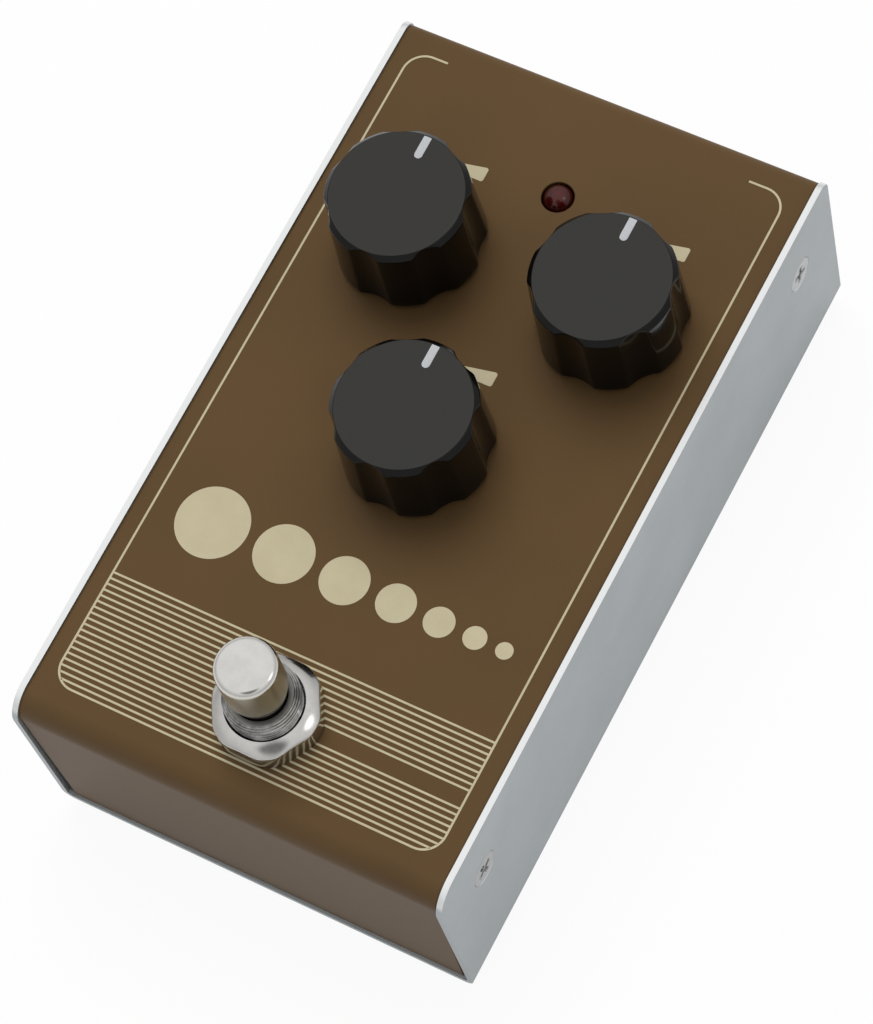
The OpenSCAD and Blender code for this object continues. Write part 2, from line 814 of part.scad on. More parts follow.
// Moulded knob: hollow skirt, hub with a flatted bore, ribs, and a groove for the pointer
module knob(at) {
    roof_h = hub_roof_z - knob_z;
    hub_h = hub_z - knob_z;
    color(black_gloss)
        translate([at.x, at.y, knob_z])
            difference() {
                union() {
                    difference() {
                        knob_outside();
                        translate([0, 0, -cut])
                            cylinder(r = knob_hollow_r, h = roof_h + cut);
                    }
                    translate([0, 0, hub_h])
                        cylinder(r = hub_r, h = roof_h - hub_h + cut);
                    for (i = [0 : rib_n - 1])
                        rotate(45 + i * 360 / rib_n)
                            translate([0, -rib_t / 2, hub_h])
                                cube([knob_hollow_r + cut, rib_t, roof_h - hub_h + cut]);
                }
                translate([0, 0, hub_h - cut])
                    d_section(shaft_r + knob_clear, shaft_flat + knob_clear, roof_h - hub_h + cut);
                translate([0, 0, knob_h - pointer_d])
                    pointer_slot(pointer_w, knob_r + cut);
            }
}

// White pointer let into the top face
module pointer(at) {
    color(white_inlay)
        translate([at.x, at.y, knob_top_z - pointer_d])
            intersection() {
                pointer_slot(pointer_w - 2 * pointer_clear, knob_face_r);
                cylinder(r = knob_face_r, h = pointer_d);
            }
}

// Control shaft, with a flat where the knob sits
module shaft(at) {
    low_z = under_z - shaft_sink + shaft_play;
    neck_z = hub_z - hub_gap;
    color(nickel)
        translate([at.x, at.y, 0])
            difference() {
                translate([0, 0, low_z])
                    cylinder(r = shaft_r, h = shaft_top_z - low_z);
                translate([-shaft_r - cut, shaft_flat, neck_z])
                    cube([2 * (shaft_r + cut), shaft_r, shaft_top_z - neck_z + cut]);
            }
}

// Rotary control: can, threaded bushing, locating tab and the wafer that carries its pins
module pot(at) {
    color(satin_steel)
        translate([at.x, at.y, 0])
            difference() {
                union() {
                    translate([0, 0, pot_z])
                        cylinder(r = pot_r, h = pot_depth);
                    translate([0, 0, pot_z])
                        cylinder(r = pot_bush_r, h = pot_depth + pot_bush_l);
                    translate([tab_set, -tab_w / 2, pot_z])
                        cube([tab_t, tab_w, pot_depth + cover_t]);
                    translate([-wafer_w / 2, -pot_r - wafer_reach, wafer_z])
                        cube([wafer_w, pot_r + wafer_reach, wafer_t]);
                }
                translate([0, 0, under_z - shaft_sink])
                    cylinder(r = shaft_r + shaft_clear, h = shaft_sink + pot_bush_l + cut);
            }
}

module time_knob() { knob(time_at); }
module time_pointer() { pointer(time_at); }
module time_shaft() { shaft(time_at); }
module time_pot() { pot(time_at); }
module mix_knob() { knob(mix_at); }
module mix_pointer() { pointer(mix_at); }
module mix_shaft() { shaft(mix_at); }
module mix_pot() { pot(mix_at); }
module repeats_knob() { knob(repeats_at); }
module repeats_pointer() { pointer(repeats_at); }
module repeats_shaft() { shaft(repeats_at); }
module repeats_pot() { pot(repeats_at); }

// Nuts that hold the controls, hidden under the knobs
module pot_nuts() {
    color(nickel)
        for (at = controls)
            translate([at.x, at.y, panel_z + pot_washer_t])
                hex_nut(pot_nut_af, pot_nut_t, pot_bush_r + nut_clear);
}

// Washers under those nuts
module pot_washers() {
    color(nickel)
        for (at = controls)
            translate([at.x, at.y, panel_z])
                washer(pot_washer_r, pot_bush_r + nut_clear, pot_washer_t);
}

// Places its children at each solder pin of the controls
module at_pot_pins() {
    for (at = controls, i = [-1 : 1])
        translate([at.x + i * pin_pitch, at.y - pot_r - pin_set, 0])
            children();
}

// Solder pins from the controls' wafers through the main board
module pot_pins() {
    low_z = board_z - pin_tail;
    color(tinned)
        at_pot_pins()
            translate([0, 0, low_z])
                cylinder(r = pin_r, h = wafer_z - low_z);
}

// Status lamp: domed lens on a rimmed base
module status_lamp() {
    color(red_lens)
        translate([lamp_at.x, lamp_at.y, lamp_z]) {
            cylinder(r = lamp_rim_r, h = lamp_rim_t);
            cylinder(r = lamp_r, h = lamp_l - lamp_r);
            translate([0, 0, lamp_l - lamp_r])
                sphere(r = lamp_r);
        }
}

// Places its children at each lead of the lamp
module at_lamp_leads() {
    for (side = [-1, 1])
        translate([lamp_at.x + side * lead_pitch / 2, lamp_at.y, 0])
            children();
}

// Lamp leads through the main board
module lamp_leads() {
    low_z = board_z - pin_tail;
    color(tinned)
        at_lamp_leads()
            translate([0, 0, low_z])
                cylinder(r = lead_r, h = lamp_z - low_z);
}

// Plunger: cap with a round top edge and a tapered end, on a hollow neck with a stop collar at its foot
module footswitch_plunger() {
    edge_z = cap_top_z - cap_edge_r;
    taper_top_z = cap_z + cap_taper_h;
    color(nickel)
        translate([switch_at.x, switch_at.y, 0])
            difference() {
                union() {
                    translate([0, 0, cap_z])
                        cylinder(r1 = cap_foot_r, r2 = cap_r, h = cap_taper_h);
                    translate([0, 0, taper_top_z])
                        cylinder(r = cap_r, h = edge_z - taper_top_z);
                    translate([0, 0, cap_z])
                        cylinder(r = cap_r - cap_edge_r, h = cap_top_z - cap_z);
                    translate([0, 0, edge_z])
                        rotate_extrude()
                            translate([cap_r - cap_edge_r, 0])
                                circle(r = cap_edge_r);
                    translate([0, 0, stop_z])
                        cylinder(r = neck_r, h = cap_z - stop_z + cut);
                    translate([0, 0, stop_z])
                        cylinder(r = stop_r, h = stop_t);
                }
                translate([0, 0, stop_z - cut])
                    cylinder(r = spring_hole_r, h = spring_roof_z - stop_z + cut);
            }
}

// Point on the spring's centre line after so many steps
function spring_point(i) =
    let (turn = i * 360 / spring_steps, rise = (spring_high_z - spring_low_z) * i / spring_rings)
    [spring_r * cos(turn), spring_r * sin(turn), spring_low_z + rise];

// Ring of points round the wire at that step
function spring_ring(i) =
    let (turn = i * 360 / spring_steps, centre = spring_point(i))
    [for (j = [0 : spring_sides - 1])
        let (lean = j * 360 / spring_sides, out = spring_wire_r * cos(lean))
        centre + [out * cos(turn), out * sin(turn), spring_wire_r * sin(lean)]];

// Triangles between one ring and the next
function spring_band(i) =
    [for (j = [0 : spring_sides - 1])
        let (
            next = (j + 1) % spring_sides,
            low = i * spring_sides,
            high = low + spring_sides
        )
        each [[low + j, high + j, high + next], [low + j, high + next, low + next]]];

// Return spring between the housing's well and the plunger
module footswitch_spring() {
    last = spring_rings * spring_sides;
    points = [for (i = [0 : spring_rings]) each spring_ring(i)];
    bands = [for (i = [0 : spring_rings - 1]) each spring_band(i)];
    start_cap = [for (j = [1 : spring_sides - 2]) [0, j, j + 1]];
    end_cap = [for (j = [1 : spring_sides - 2]) [last, last + j + 1, last + j]];
    color(tinned)
        translate([switch_at.x, switch_at.y, 0])
            polyhedron(points, concat(bands, start_cap, end_cap));
}

// Threaded bushing with a chamfered mouth and a foot under the frame
module footswitch_bushing() {
    tube_h = bush_top_z - bush_foot_z;
    color(nickel)
        translate([switch_at.x, switch_at.y, bush_foot_z])
            difference() {
                union() {
                    cylinder(r = bush_foot_r, h = bush_foot_t);
                    cylinder(r = bush_r, h = tube_h - bush_chamfer);
                    translate([0, 0, tube_h - bush_chamfer])
                        cylinder(r1 = bush_r, r2 = bush_r - bush_chamfer, h = bush_chamfer);
                }
                translate([0, 0, -cut])
                    cylinder(r = bush_bore_r, h = tube_h + 2 * cut);
            }
}

// Nut on the panel, with its corners turned off and its top turned to a cone
module footswitch_nut() {
    flat_h = switch_nut_h - switch_nut_cone_h;
    color(nickel)
        translate([switch_at.x, switch_at.y, panel_z])
            intersection() {
                hex_nut(switch_nut_af, switch_nut_h, bush_r + nut_clear);
                union() {
                    cylinder(r = switch_nut_r, h = flat_h);
                    translate([0, 0, flat_h])
                        cylinder(r1 = switch_nut_r, r2 = switch_nut_face_r, h = switch_nut_cone_h);
                }
            }
}

// Nut under the panel
module footswitch_back_nut() {
    color(nickel)
        translate([switch_at.x, switch_at.y, back_nut_z])
            hex_nut(back_nut_af, back_nut_t, bush_r + nut_clear);
}

// Lock washer with inner teeth, between the panel and the back nut
module footswitch_lock_washer() {
    inner_r = bush_r + nut_clear;
    color(nickel)
        translate([switch_at.x, switch_at.y, back_nut_z + back_nut_t])
            difference() {
                washer(lock_washer_r, inner_r, lock_washer_t);
                for (i = [0 : lock_teeth - 1])
                    rotate(i * 360 / lock_teeth)
                        translate([0, -lock_gap_w / 2, -cut])
                            cube([inner_r + lock_gap_d, lock_gap_w, lock_washer_t + 2 * cut]);
            }
}

// Steel frame: a plate on the housing with two straps down its sides
module footswitch_frame() {
    half_w = housing_w / 2 + strap_gap;
    color(satin_steel)
        translate([switch_at.x, switch_at.y, housing_top_z])
            difference() {
                union() {
                    translate([-half_w - frame_t, -housing_w / 2, 0])
                        cube([2 * (half_w + frame_t), housing_w, frame_t]);
                    for (side = [0, 1])
                        mirror([side, 0, 0])
                            translate([half_w, -strap_w / 2, -strap_l])
                                cube([frame_t, strap_w, strap_l + frame_t]);
                }
                translate([0, 0, -cut])
                    cylinder(r = bush_r + nut_clear, h = frame_t + 2 * cut);
            }
}

// Housing with a seat for the bushing's foot and a well for the plunger and its spring
module footswitch_housing() {
    color(blue_plastic)
        difference() {
            translate([switch_at.x - housing_w / 2, switch_at.y - housing_w / 2, housing_z])
                cube([housing_w, housing_w, housing_h]);
            translate([switch_at.x, switch_at.y, bush_foot_z])
                cylinder(r = bush_foot_r + housing_clear, h = bush_foot_t + cut);
            translate([switch_at.x, switch_at.y, well_z])
                cylinder(r = stop_r + housing_clear, h = bush_foot_z - well_z + cut);
        }
}

// Places its children at each solder lug of the footswitch
module at_lugs() {
    for (i = [-1 : 1], j = [-1 : 1])
        translate([switch_at.x + i * lug_pitch_x, switch_at.y + j * lug_pitch_y, 0])
            children();
}

// Solder lugs under the footswitch
module footswitch_lugs() {
    color(tinned)
        at_lugs()
            translate([-lug_w / 2, -lug_t / 2, housing_z - lug_l])
                cube([lug_w, lug_t, lug_l]);
}

// Main board, notched for the rear case screws and drilled for its pins
module main_board() {
    color(green_board)
        difference() {
            translate([0, 0, board_z])
                linear_extrude(board_t)
                    polygon([
                        [-board_x, board_front_y],
                        [board_x, board_front_y],
                        [board_x, notch_y],
                        [notch_x, notch_y],
                        [notch_x, board_rear_y],
                        [-notch_x, board_rear_y],
                        [-notch_x, notch_y],
                        [-board_x, notch_y]
                    ]);
            at_pot_pins()
                board_hole(pin_r + pin_clear);
            at_lamp_leads()
                board_hole(lead_r + pin_clear);
            for (x = [-jack_x, jack_x])
                translate([
                    x - contact_w / 2 - contact_clear,
                    contact_y - contact_clear,
                    board_z - cut
                ])
                    cube([
                        contact_w + 2 * contact_clear,
                        contact_t + 2 * contact_clear,
                        board_t + 2 * cut
                    ]);
        }
}

module board_hole(r) {
    translate([0, 0, board_z - cut])
        cylinder(r = r, h = board_t + 2 * cut);
}

// Small board that the footswitch's lugs are soldered to
module switch_board() {
    half_w = housing_w / 2 + switch_board_rim;
    color(green_board)
        difference() {
            translate([switch_at.x - half_w, switch_at.y - half_w, switch_board_z])
                cube([2 * half_w, 2 * half_w, board_t]);
            at_lugs()
                translate([-lug_w / 2 - pin_clear, -lug_t / 2 - pin_clear, switch_board_z - cut])
                    cube([lug_w + 2 * pin_clear, lug_t + 2 * pin_clear, board_t + 2 * cut]);
        }
}

// Flat ribbon from the footswitch board up to the main board
module board_ribbon() {
    bend_z = switch_board_top_z + ribbon_t + ribbon_r;
    color(grey_ribbon)
        translate([-ribbon_w / 2, 0, 0]) {
            translate([0, ribbon_end_y, switch_board_top_z])
                cube([ribbon_w, ribbon_bend_y - ribbon_end_y, ribbon_t]);
            translate([0, ribbon_bend_y, bend_z])
                rotate([0, 90, 0])
                    quarter_tube(ribbon_r, ribbon_t, ribbon_w);
            translate([0, ribbon_back_y, bend_z])
                cube([ribbon_w, ribbon_t, board_z - bend_z]);
        }
}

// One chip, hanging under the main board
module chip() {
    leg_h = chip_gap + chip_h / 2;
    difference() {
        translate([-chip_l / 2, -chip_w / 2, -chip_gap - chip_h])
            cube([chip_l, chip_w, chip_h]);
        translate([-chip_l / 2, 0, -chip_gap - chip_h - cut])
            cylinder(r = chip_notch_r, h = chip_h / 4 + cut);
    }
    for (side = [-1, 1], i = [0 : chip_pins - 1])
        translate([
            (i - (chip_pins - 1) / 2) * chip_pitch - chip_pin_w / 2,
            side * (chip_w + chip_pin_t) / 2 - chip_pin_t / 2,
            -leg_h
        ])
            cube([chip_pin_w, chip_pin_t, leg_h]);
}

// Delay chip and amplifier chip
module chips() {
    color(dark_plastic)
        for (i = [0, 1])
            translate([0, rear_row_y - chip_set - i * chip_step, board_z])
                chip();
}

// Row of electrolytic capacitors, each with a groove near its foot
module capacitors() {
    color(dark_plastic)
        for (i = [0 : can_n - 1])
            translate([(i - (can_n - 1) / 2) * can_pitch, rear_row_y - can_set, board_z - can_h])
                difference() {
                    cylinder(r = can_r, h = can_h);
                    translate([0, 0, can_h - can_groove_z])
                        rotate_extrude()
                            translate([can_r + can_groove_r / 2, 0])
                                circle(r = can_groove_r);
                }
}

// Body of a jack, with the sleeve's seat, the plug's cavity and a slot for the tip contact
module jack_body(x) {
    color(dark_plastic)
        difference() {
            translate([x - jack_w / 2, jack_front_y, jack_z - jack_h / 2])
                cube([jack_w, jack_d, jack_h]);
            translate([x, wall_in_y - sleeve_in, jack_z])
                rotate([-90, 0, 0])
                    cylinder(r = sleeve_r + nut_clear, h = sleeve_in + cut);
            translate([x, jack_front_y + cavity_end, jack_z])
                rotate([-90, 0, 0])
                    cylinder(r = cavity_r, h = jack_d - cavity_end);
            translate([x - contact_w / 2 - contact_clear, contact_y - contact_clear, jack_z])
                cube([
                    contact_w + 2 * contact_clear,
                    contact_l + 2 * contact_clear,
                    jack_h / 2 + cut
                ]);
        }
}

// Threaded sleeve that the plug goes through
module jack_sleeve(x) {
    color(nickel)
        translate([x, sleeve_end_y, jack_z])
            rotate([90, 0, 0])
                washer(sleeve_r, plug_r, sleeve_l);
}

// Tip contact: a finger over the plug's tip and a leg up through the board
module jack_contact(x) {
    color(tinned)
        translate([x - contact_w / 2, contact_y, jack_z + contact_z]) {
            cube([contact_w, contact_l, contact_t]);
            cube([contact_w, contact_t, board_top_z + pin_tail - jack_z - contact_z]);
        }
}

module input_jack_body() { jack_body(jack_x); }
module input_jack_sleeve() { jack_sleeve(jack_x); }
module input_jack_contact() { jack_contact(jack_x); }
module output_jack_body() { jack_body(-jack_x); }
module output_jack_sleeve() { jack_sleeve(-jack_x); }
module output_jack_contact() { jack_contact(-jack_x); }

// Nuts on the jacks' sleeves
module jack_nuts() {
    color(nickel)
        for (x = [-jack_x, jack_x])
            translate([x, rear_wall_y + jack_washer_t, jack_z])
                rotate([-90, 0, 0])
                    hex_nut(jack_nut_af, jack_nut_t, sleeve_r + nut_clear);
}

// Washers under those nuts
module jack_washers() {
    color(nickel)
        for (x = [-jack_x, jack_x])
            translate([x, rear_wall_y, jack_z])
                rotate([-90, 0, 0])
                    washer(jack_washer_r, sleeve_r + nut_clear, jack_washer_t);
}

// Body of the power jack, with a round mouth through the rear wall
module power_jack_body() {
    low_z = jack_z - power_w / 2;
    color(dark_plastic)
        difference() {
            union() {
                translate([-power_w / 2, power_front_y, low_z])
                    cube([power_w, power_d, board_z - low_z]);
                translate([0, wall_in_y - cut, jack_z])
                    rotate([-90, 0, 0])
                        cylinder(r = power_mouth_r, h = power_end_y - wall_in_y + cut);
            }
            translate([0, power_floor_y, jack_z])
                rotate([-90, 0, 0])
                    cylinder(r = power_bore_r, h = power_bore_d + cut);
        }
}

// Centre pin of the power jack
module power_jack_pin() {
    color(nickel)
        translate([0, power_floor_y, jack_z])
            rotate([-90, 0, 0])
                cylinder(r = power_pin_r, h = power_bore_d - power_pin_sink);
}

base_tray();
top_cover();
screw_brackets();
case_screws();
rubber_feet();
time_knob();
time_pointer();
time_shaft();
time_pot();
mix_knob();
mix_pointer();
mix_shaft();
mix_pot();
repeats_knob();
repeats_pointer();
repeats_shaft();
repeats_pot();
pot_nuts();
pot_washers();
pot_pins();
status_lamp();
lamp_leads();
footswitch_plunger();
footswitch_spring();
footswitch_bushing();
footswitch_nut();
footswitch_back_nut();
footswitch_lock_washer();
footswitch_frame();
footswitch_housing();
footswitch_lugs();
main_board();
switch_board();
board_ribbon();
chips();
capacitors();
input_jack_body();
input_jack_sleeve();
input_jack_contact();
output_jack_body();
output_jack_sleeve();
output_jack_contact();
jack_nuts();
jack_washers();
power_jack_body();
power_jack_pin();
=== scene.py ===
# %% [markdown]
# # Dressing a small delay pedal
#
# The pedal is a folded steel tray with a brown painted cover let in between its side plates,
# three moulded knobs, a press switch and a lamp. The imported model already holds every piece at
# its real size and place. This lesson sets up the picture, gives each piece its finish, and
# swaps a few pieces for finer ones. Blender works in metres here, so a small factor turns
# millimetres into metres.

# %% Load the frame
import math

import bmesh
import bpy
from mathutils import Matrix, Vector


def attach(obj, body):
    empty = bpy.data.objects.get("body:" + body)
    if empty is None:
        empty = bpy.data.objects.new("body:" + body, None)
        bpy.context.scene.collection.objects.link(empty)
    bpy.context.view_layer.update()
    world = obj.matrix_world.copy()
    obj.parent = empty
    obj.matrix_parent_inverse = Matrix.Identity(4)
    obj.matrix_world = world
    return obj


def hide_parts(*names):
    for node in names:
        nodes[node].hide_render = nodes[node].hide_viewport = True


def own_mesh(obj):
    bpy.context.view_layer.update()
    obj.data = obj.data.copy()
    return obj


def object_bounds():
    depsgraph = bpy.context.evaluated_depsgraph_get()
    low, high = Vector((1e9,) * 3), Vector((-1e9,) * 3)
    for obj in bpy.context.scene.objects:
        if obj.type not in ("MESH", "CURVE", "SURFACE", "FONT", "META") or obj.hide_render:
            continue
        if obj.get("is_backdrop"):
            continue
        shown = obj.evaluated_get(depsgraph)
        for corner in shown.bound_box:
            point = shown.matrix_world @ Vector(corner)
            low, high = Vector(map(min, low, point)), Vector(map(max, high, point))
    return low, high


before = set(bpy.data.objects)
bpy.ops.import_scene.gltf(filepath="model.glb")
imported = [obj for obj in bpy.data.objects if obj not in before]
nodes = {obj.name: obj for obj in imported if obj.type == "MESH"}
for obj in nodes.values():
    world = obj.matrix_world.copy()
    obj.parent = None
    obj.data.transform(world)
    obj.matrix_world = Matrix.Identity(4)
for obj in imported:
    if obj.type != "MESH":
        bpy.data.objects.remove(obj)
cad_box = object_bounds()
MM = 0.001
print(f"{len(nodes)} nodes, box {[round(v / MM, 1) for v in cad_box[1] - cad_box[0]]} mm")

# %% [markdown]
# ## The camera
#
# The picture looks steeply down at the pedal from its front right, with a long lens and the
# camera rolled to the left. A camera could be aimed by eye, but edges of known length, such as
# the side plates, fix its place, turn and lens exactly, so the numbers below are simply set.
# The sensor's 36 mm belong to the picture's long side.

# %% Set the camera
camera = bpy.data.objects.new("camera", bpy.data.cameras.new("camera"))
bpy.context.scene.collection.objects.link(camera)
camera.location = (0.195332, -0.186813, 0.594878)
camera.rotation_euler = [math.radians(a) for a in (23.4916, 8.5731, 27.8709)]
camera.data.lens = 142.05
camera.data.sensor_width = 36
camera.data.clip_start = 0.01
bpy.context.scene.camera = camera
bpy.context.scene.view_settings.view_transform = "Standard"
print(f"camera {camera.location.length:.3f} m from the pedal's foot, lens {camera.data.lens} mm")

# %% [markdown]
# ## Writing shaders as sums
#
# A procedural finish is a small calculation made at every point of a surface. Nodes can be
# placed one by one, but a long sum is easier to read as a sum. The class below wraps a socket:
# `+`, `-`, `*` and the rest add the Math node that does that step, and `node` adds any other
# kind of node, with its settings set before its sockets.

# %% The wire class
class Wire:
    """One output socket of a shader, to be used in sums and as the input of other nodes."""

    def __init__(self, tree, socket=None):
        self.tree = tree
        self.socket = socket

    def node(self, kind, settings=None, inputs=None, out=0):
        """Adds one node, settings first and then sockets, and returns one of its outputs."""
        made = self.tree.nodes.new("ShaderNode" + kind)
        for name, value in (settings or {}).items():
            setattr(made, name, value)
        for name, value in (inputs or {}).items():
            if isinstance(value, Wire):
                self.tree.links.new(value.socket, made.inputs[name])
            else:
                made.inputs[name].default_value = value
        return Wire(self.tree, made.outputs[out] if made.outputs else None)

    def sum(self, operation, first, second):
        return self.node("Math", {"operation": operation}, {0: first, 1: second})

    def __add__(self, other):
        return self.sum("ADD", self, other)

    __radd__ = __add__

    def __sub__(self, other):
        return self.sum("SUBTRACT", self, other)

    def __rsub__(self, other):
        return self.sum("SUBTRACT", other, self)

    def __mul__(self, other):
        return self.sum("MULTIPLY", self, other)

    __rmul__ = __mul__

    def __abs__(self):
        return self.node("Math", {"operation": "ABSOLUTE"}, {0: self})

    def sine(self):
        return self.node("Math", {"operation": "SINE"}, {0: self})

    def most(self, other):
        return self.sum("MAXIMUM", self, other)

    def ease(self, low, high):
        """Rises smoothly from 0 at low to 1 at high."""
        limits = {"Value": self, "From Min": low, "From Max": high}
        return self.node("MapRange", {"interpolation_type": "SMOOTHSTEP"}, limits)

    def blend(self, first, second):
        """Mixes two colours, the first where this wire is 0 and the second where it is 1."""
        ends = [c if isinstance(c, Wire) else (*c, 1) for c in (first, second)]
        return self.node("Mix", {"data_type": "RGBA"}, {0: self, 6: ends[0], 7: ends[1]}, out=2)


print("wires can be summed")

# %% [markdown]
# ## Floor and light
#
# The pedal stands on a plain white sweep under one large soft lamp, high up behind its left, so
# that each knob throws a short soft shade to the front right. The white of the background is
# the floor's and the surroundings' own colour at strength 1. A ray from the camera sees that
# white. A ray from a reflection or a clear piece sees the white floor and a white tent that dims
# toward its walls, with a dark port on the camera's side and a small bright window on the right,
# because polished metal looks like metal only where bright and dark meet in it. The lamp itself
# is kept out of reflections, where the white tent stands for it. Any other ray sees plain soft
# light, so colours come out as they are written.

# %% Light the set
def ray(wire, *kinds):
    """1 on rays of these kinds, and 0 on all others."""
    flags = [wire.node("LightPath", out=f"Is {kind} Ray") for kind in kinds]
    total = flags[0]
    for flag in flags[1:]:
        total = total.most(flag)
    return total


def facing(toward, way):
    """1 where a ray goes that way, and less the more it turns from it."""
    return toward.node("VectorMath", {"operation": "DOT_PRODUCT"}, {0: toward, 1: way}, out="Value")


FILL, WALL = 0.54, 0.62
PORT, PORT_DIMS = (0.282, -0.531, 0.799), 0.75
WINDOW, WINDOW_ADDS = (0.679, 0.247, 0.691), 1.8
world = bpy.data.worlds.new("studio")
bpy.context.scene.world = world
world.use_nodes = True
world.node_tree.nodes.clear()
air = Wire(world.node_tree)
toward = air.node("TexCoord", out="Generated")
up = air.node("SeparateXYZ", inputs={0: toward}, out="Z")
port = facing(toward, PORT).ease(0.93, 0.985)
window = facing(toward, WINDOW).ease(0.978, 0.996)
tent = (WALL + (1 - WALL) * up.ease(0.1, 0.9)) * (1 - PORT_DIMS * port)
room = tent + WINDOW_ADDS * window
mirrored = ray(air, "Glossy", "Transmission")
light = mirrored * room + (1 - mirrored) * FILL
shown = ray(air, "Camera").most(light)
glow = air.node("Background", inputs={"Color": (1, 1, 1, 1), "Strength": shown})
air.node("OutputWorld", inputs={"Surface": glow})
print(f"tent from {WALL} at its walls to 1 overhead, plain fill {FILL}")

# %% Hang the lamp
LAMP_SIDE, LAMP_POWER = 1.1, 22.0
lamp_data = bpy.data.lights.new("soft_box", "AREA")
lamp_data.shape = "RECTANGLE"
lamp_data.size, lamp_data.size_y = LAMP_SIDE, LAMP_SIDE
lamp_data.energy = LAMP_POWER
soft_box = bpy.data.objects.new("soft_box", lamp_data)
bpy.context.scene.collection.objects.link(soft_box)
soft_box.location = (-0.46, 0.71, 1.81)
soft_box.visible_glossy = False
soft_box.rotation_euler = (-soft_box.location).to_track_quat("-Z", "Y").to_euler()
print(f"soft box of {LAMP_POWER} W at {[round(v, 2) for v in soft_box.location]}")

# %% Lay the floor
FLOOR_REACH, SEEN_WHITE, MIRROR_WHITE = 6.0, 0.93, 0.5
floor_look = bpy.data.materials.new("white_sweep")
floor_look.use_nodes = True
floor_look.node_tree.nodes.clear()
sweep = Wire(floor_look.node_tree)
matt = sweep.node("BsdfDiffuse", inputs={"Color": (0.9, 0.9, 0.9, 1)})
white = sweep.node("Emission", inputs={"Color": (1, 1, 1, 1), "Strength": 1.0})
clear = sweep.node("BsdfTransparent")
mirrored = ray(sweep, "Glossy", "Transmission")
share = SEEN_WHITE * ray(sweep, "Camera") + MIRROR_WHITE * mirrored
top_side = sweep.node("MixShader", inputs={0: share, 1: matt, 2: white})
below = sweep.node("NewGeometry", out="Backfacing")
both = sweep.node("MixShader", inputs={0: below, 1: top_side, 2: clear})
sweep.node("OutputMaterial", inputs={"Surface": both})

floor_mesh = bpy.data.meshes.new("floor")
corners = [(x * FLOOR_REACH, y * FLOOR_REACH, 0) for x, y in ((-1, -1), (1, -1), (1, 1), (-1, 1))]
floor_mesh.from_pydata(corners, [], [(0, 1, 2, 3)])
floor_mesh.materials.append(floor_look)
floor = bpy.data.objects.new("floor", floor_mesh)
bpy.context.scene.collection.objects.link(floor)
floor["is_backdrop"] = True
print("floor laid at height 0")

# %% [markdown]
# ## Starting a finish
#
# Every finish below begins the same way: an empty material, and the point on the surface in
# millimetres, so that a grain's size can be written as it would be measured. The object's own
# coordinates are used because they stay with a knob when it turns. `coat` closes a finish: it
# fills the shader's sockets and adds the bump that a height in the sum stands for.

# %% Helpers for finishes
def start(name):
    """A new material and the surface point in millimetres."""
    look = bpy.data.materials.new(name)
    look.use_nodes = True
    look.node_tree.nodes.clear()
    wire = Wire(look.node_tree)
    spot = wire.node("TexCoord", out="Object")
    return look, wire.node("VectorMath", {"operation": "SCALE"}, {0: spot, "Scale": 1 / MM})


def noise(at, scale, detail=3.0, rough=0.55):
    """Cloudy noise from 0 to 1, with about that many lumps to a millimetre."""
    inputs = {"Vector": at, "Scale": scale, "Detail": detail, "Roughness": rough}
    return at.node("TexNoise", inputs=inputs)


def axis(at, name):
    """One coordinate of a point."""
    return at.node("SeparateXYZ", inputs={0: at}, out=name)


def stretched(at, factors):
    """The point with its coordinates scaled, which draws a noise out along the smallest."""
    return at.node("VectorMath", {"operation": "MULTIPLY"}, {0: at, 1: factors})


def from_axis(at, x, y):
    """Distance of a point from the upright axis at x, y."""
    off = at.node("VectorMath", {"operation": "SUBTRACT"}, {0: at, 1: (x, y, 0)})
    level = stretched(off, (1, 1, 0))
    return level.node("VectorMath", {"operation": "LENGTH"}, {0: level}, out="Value")


def coat(look, sockets, height, depth):
    """Closes a finish: its sockets, and a bump whose full height is depth millimetres."""
    wire = Wire(look.node_tree)
    relief = {"Strength": 1.0, "Distance": depth * MM, "Height": height}
    sockets["Normal"] = wire.node("Bump", inputs=relief)
    shade = wire.node("BsdfPrincipled", inputs=sockets)
    wire.node("OutputMaterial", inputs={"Surface": shade})
    print(f"finish {look.name}: {len(look.node_tree.nodes)} nodes")
    return look


# %% [markdown]
# ## Brown paint
#
# The cover is sprayed a warm, nearly matt brown and baked. Seen close, such paint has a slight
# orange peel and a finer grain, and its gloss wanders a little. A flat brown would look like
# card, so the colour, the roughness and the bump all carry the grain. Along the cover's long
# edges the colour is a touch lighter, in patches that follow the grain.

# %% Brown paint
BROWN = (0.115, 0.065, 0.0235)
BROWN_DEEP = (0.093, 0.052, 0.0185)
BROWN_PALE_EDGE = (0.15, 0.098, 0.045)
PANEL_HALF = 36.0

brown_paint, at = start("brown_paint")
peel = noise(at, 0.9, 2.0)
grain = noise(at, 4.5, 4.0, 0.65)
cloud = noise(at, 0.035, 2.0)
tone = (cloud * 0.7 + grain * 0.5 - 0.1).ease(0.2, 0.8)
# edge is 1 along the cover's long edges, where the brown turns a touch lighter in patches.
edge = abs(axis(at, "X")).ease(PANEL_HALF - 0.25, PANEL_HALF + 0.05) * grain.ease(0.4, 0.7)
coat(brown_paint, {
    "Base Color": (edge * 0.5).blend(tone.blend(BROWN_DEEP, BROWN), BROWN_PALE_EDGE),
    "Roughness": 0.4 + 0.14 * grain + 0.06 * cloud,
    "Specular IOR Level": 0.23,
}, peel * 0.7 + grain * 0.3, 0.012)
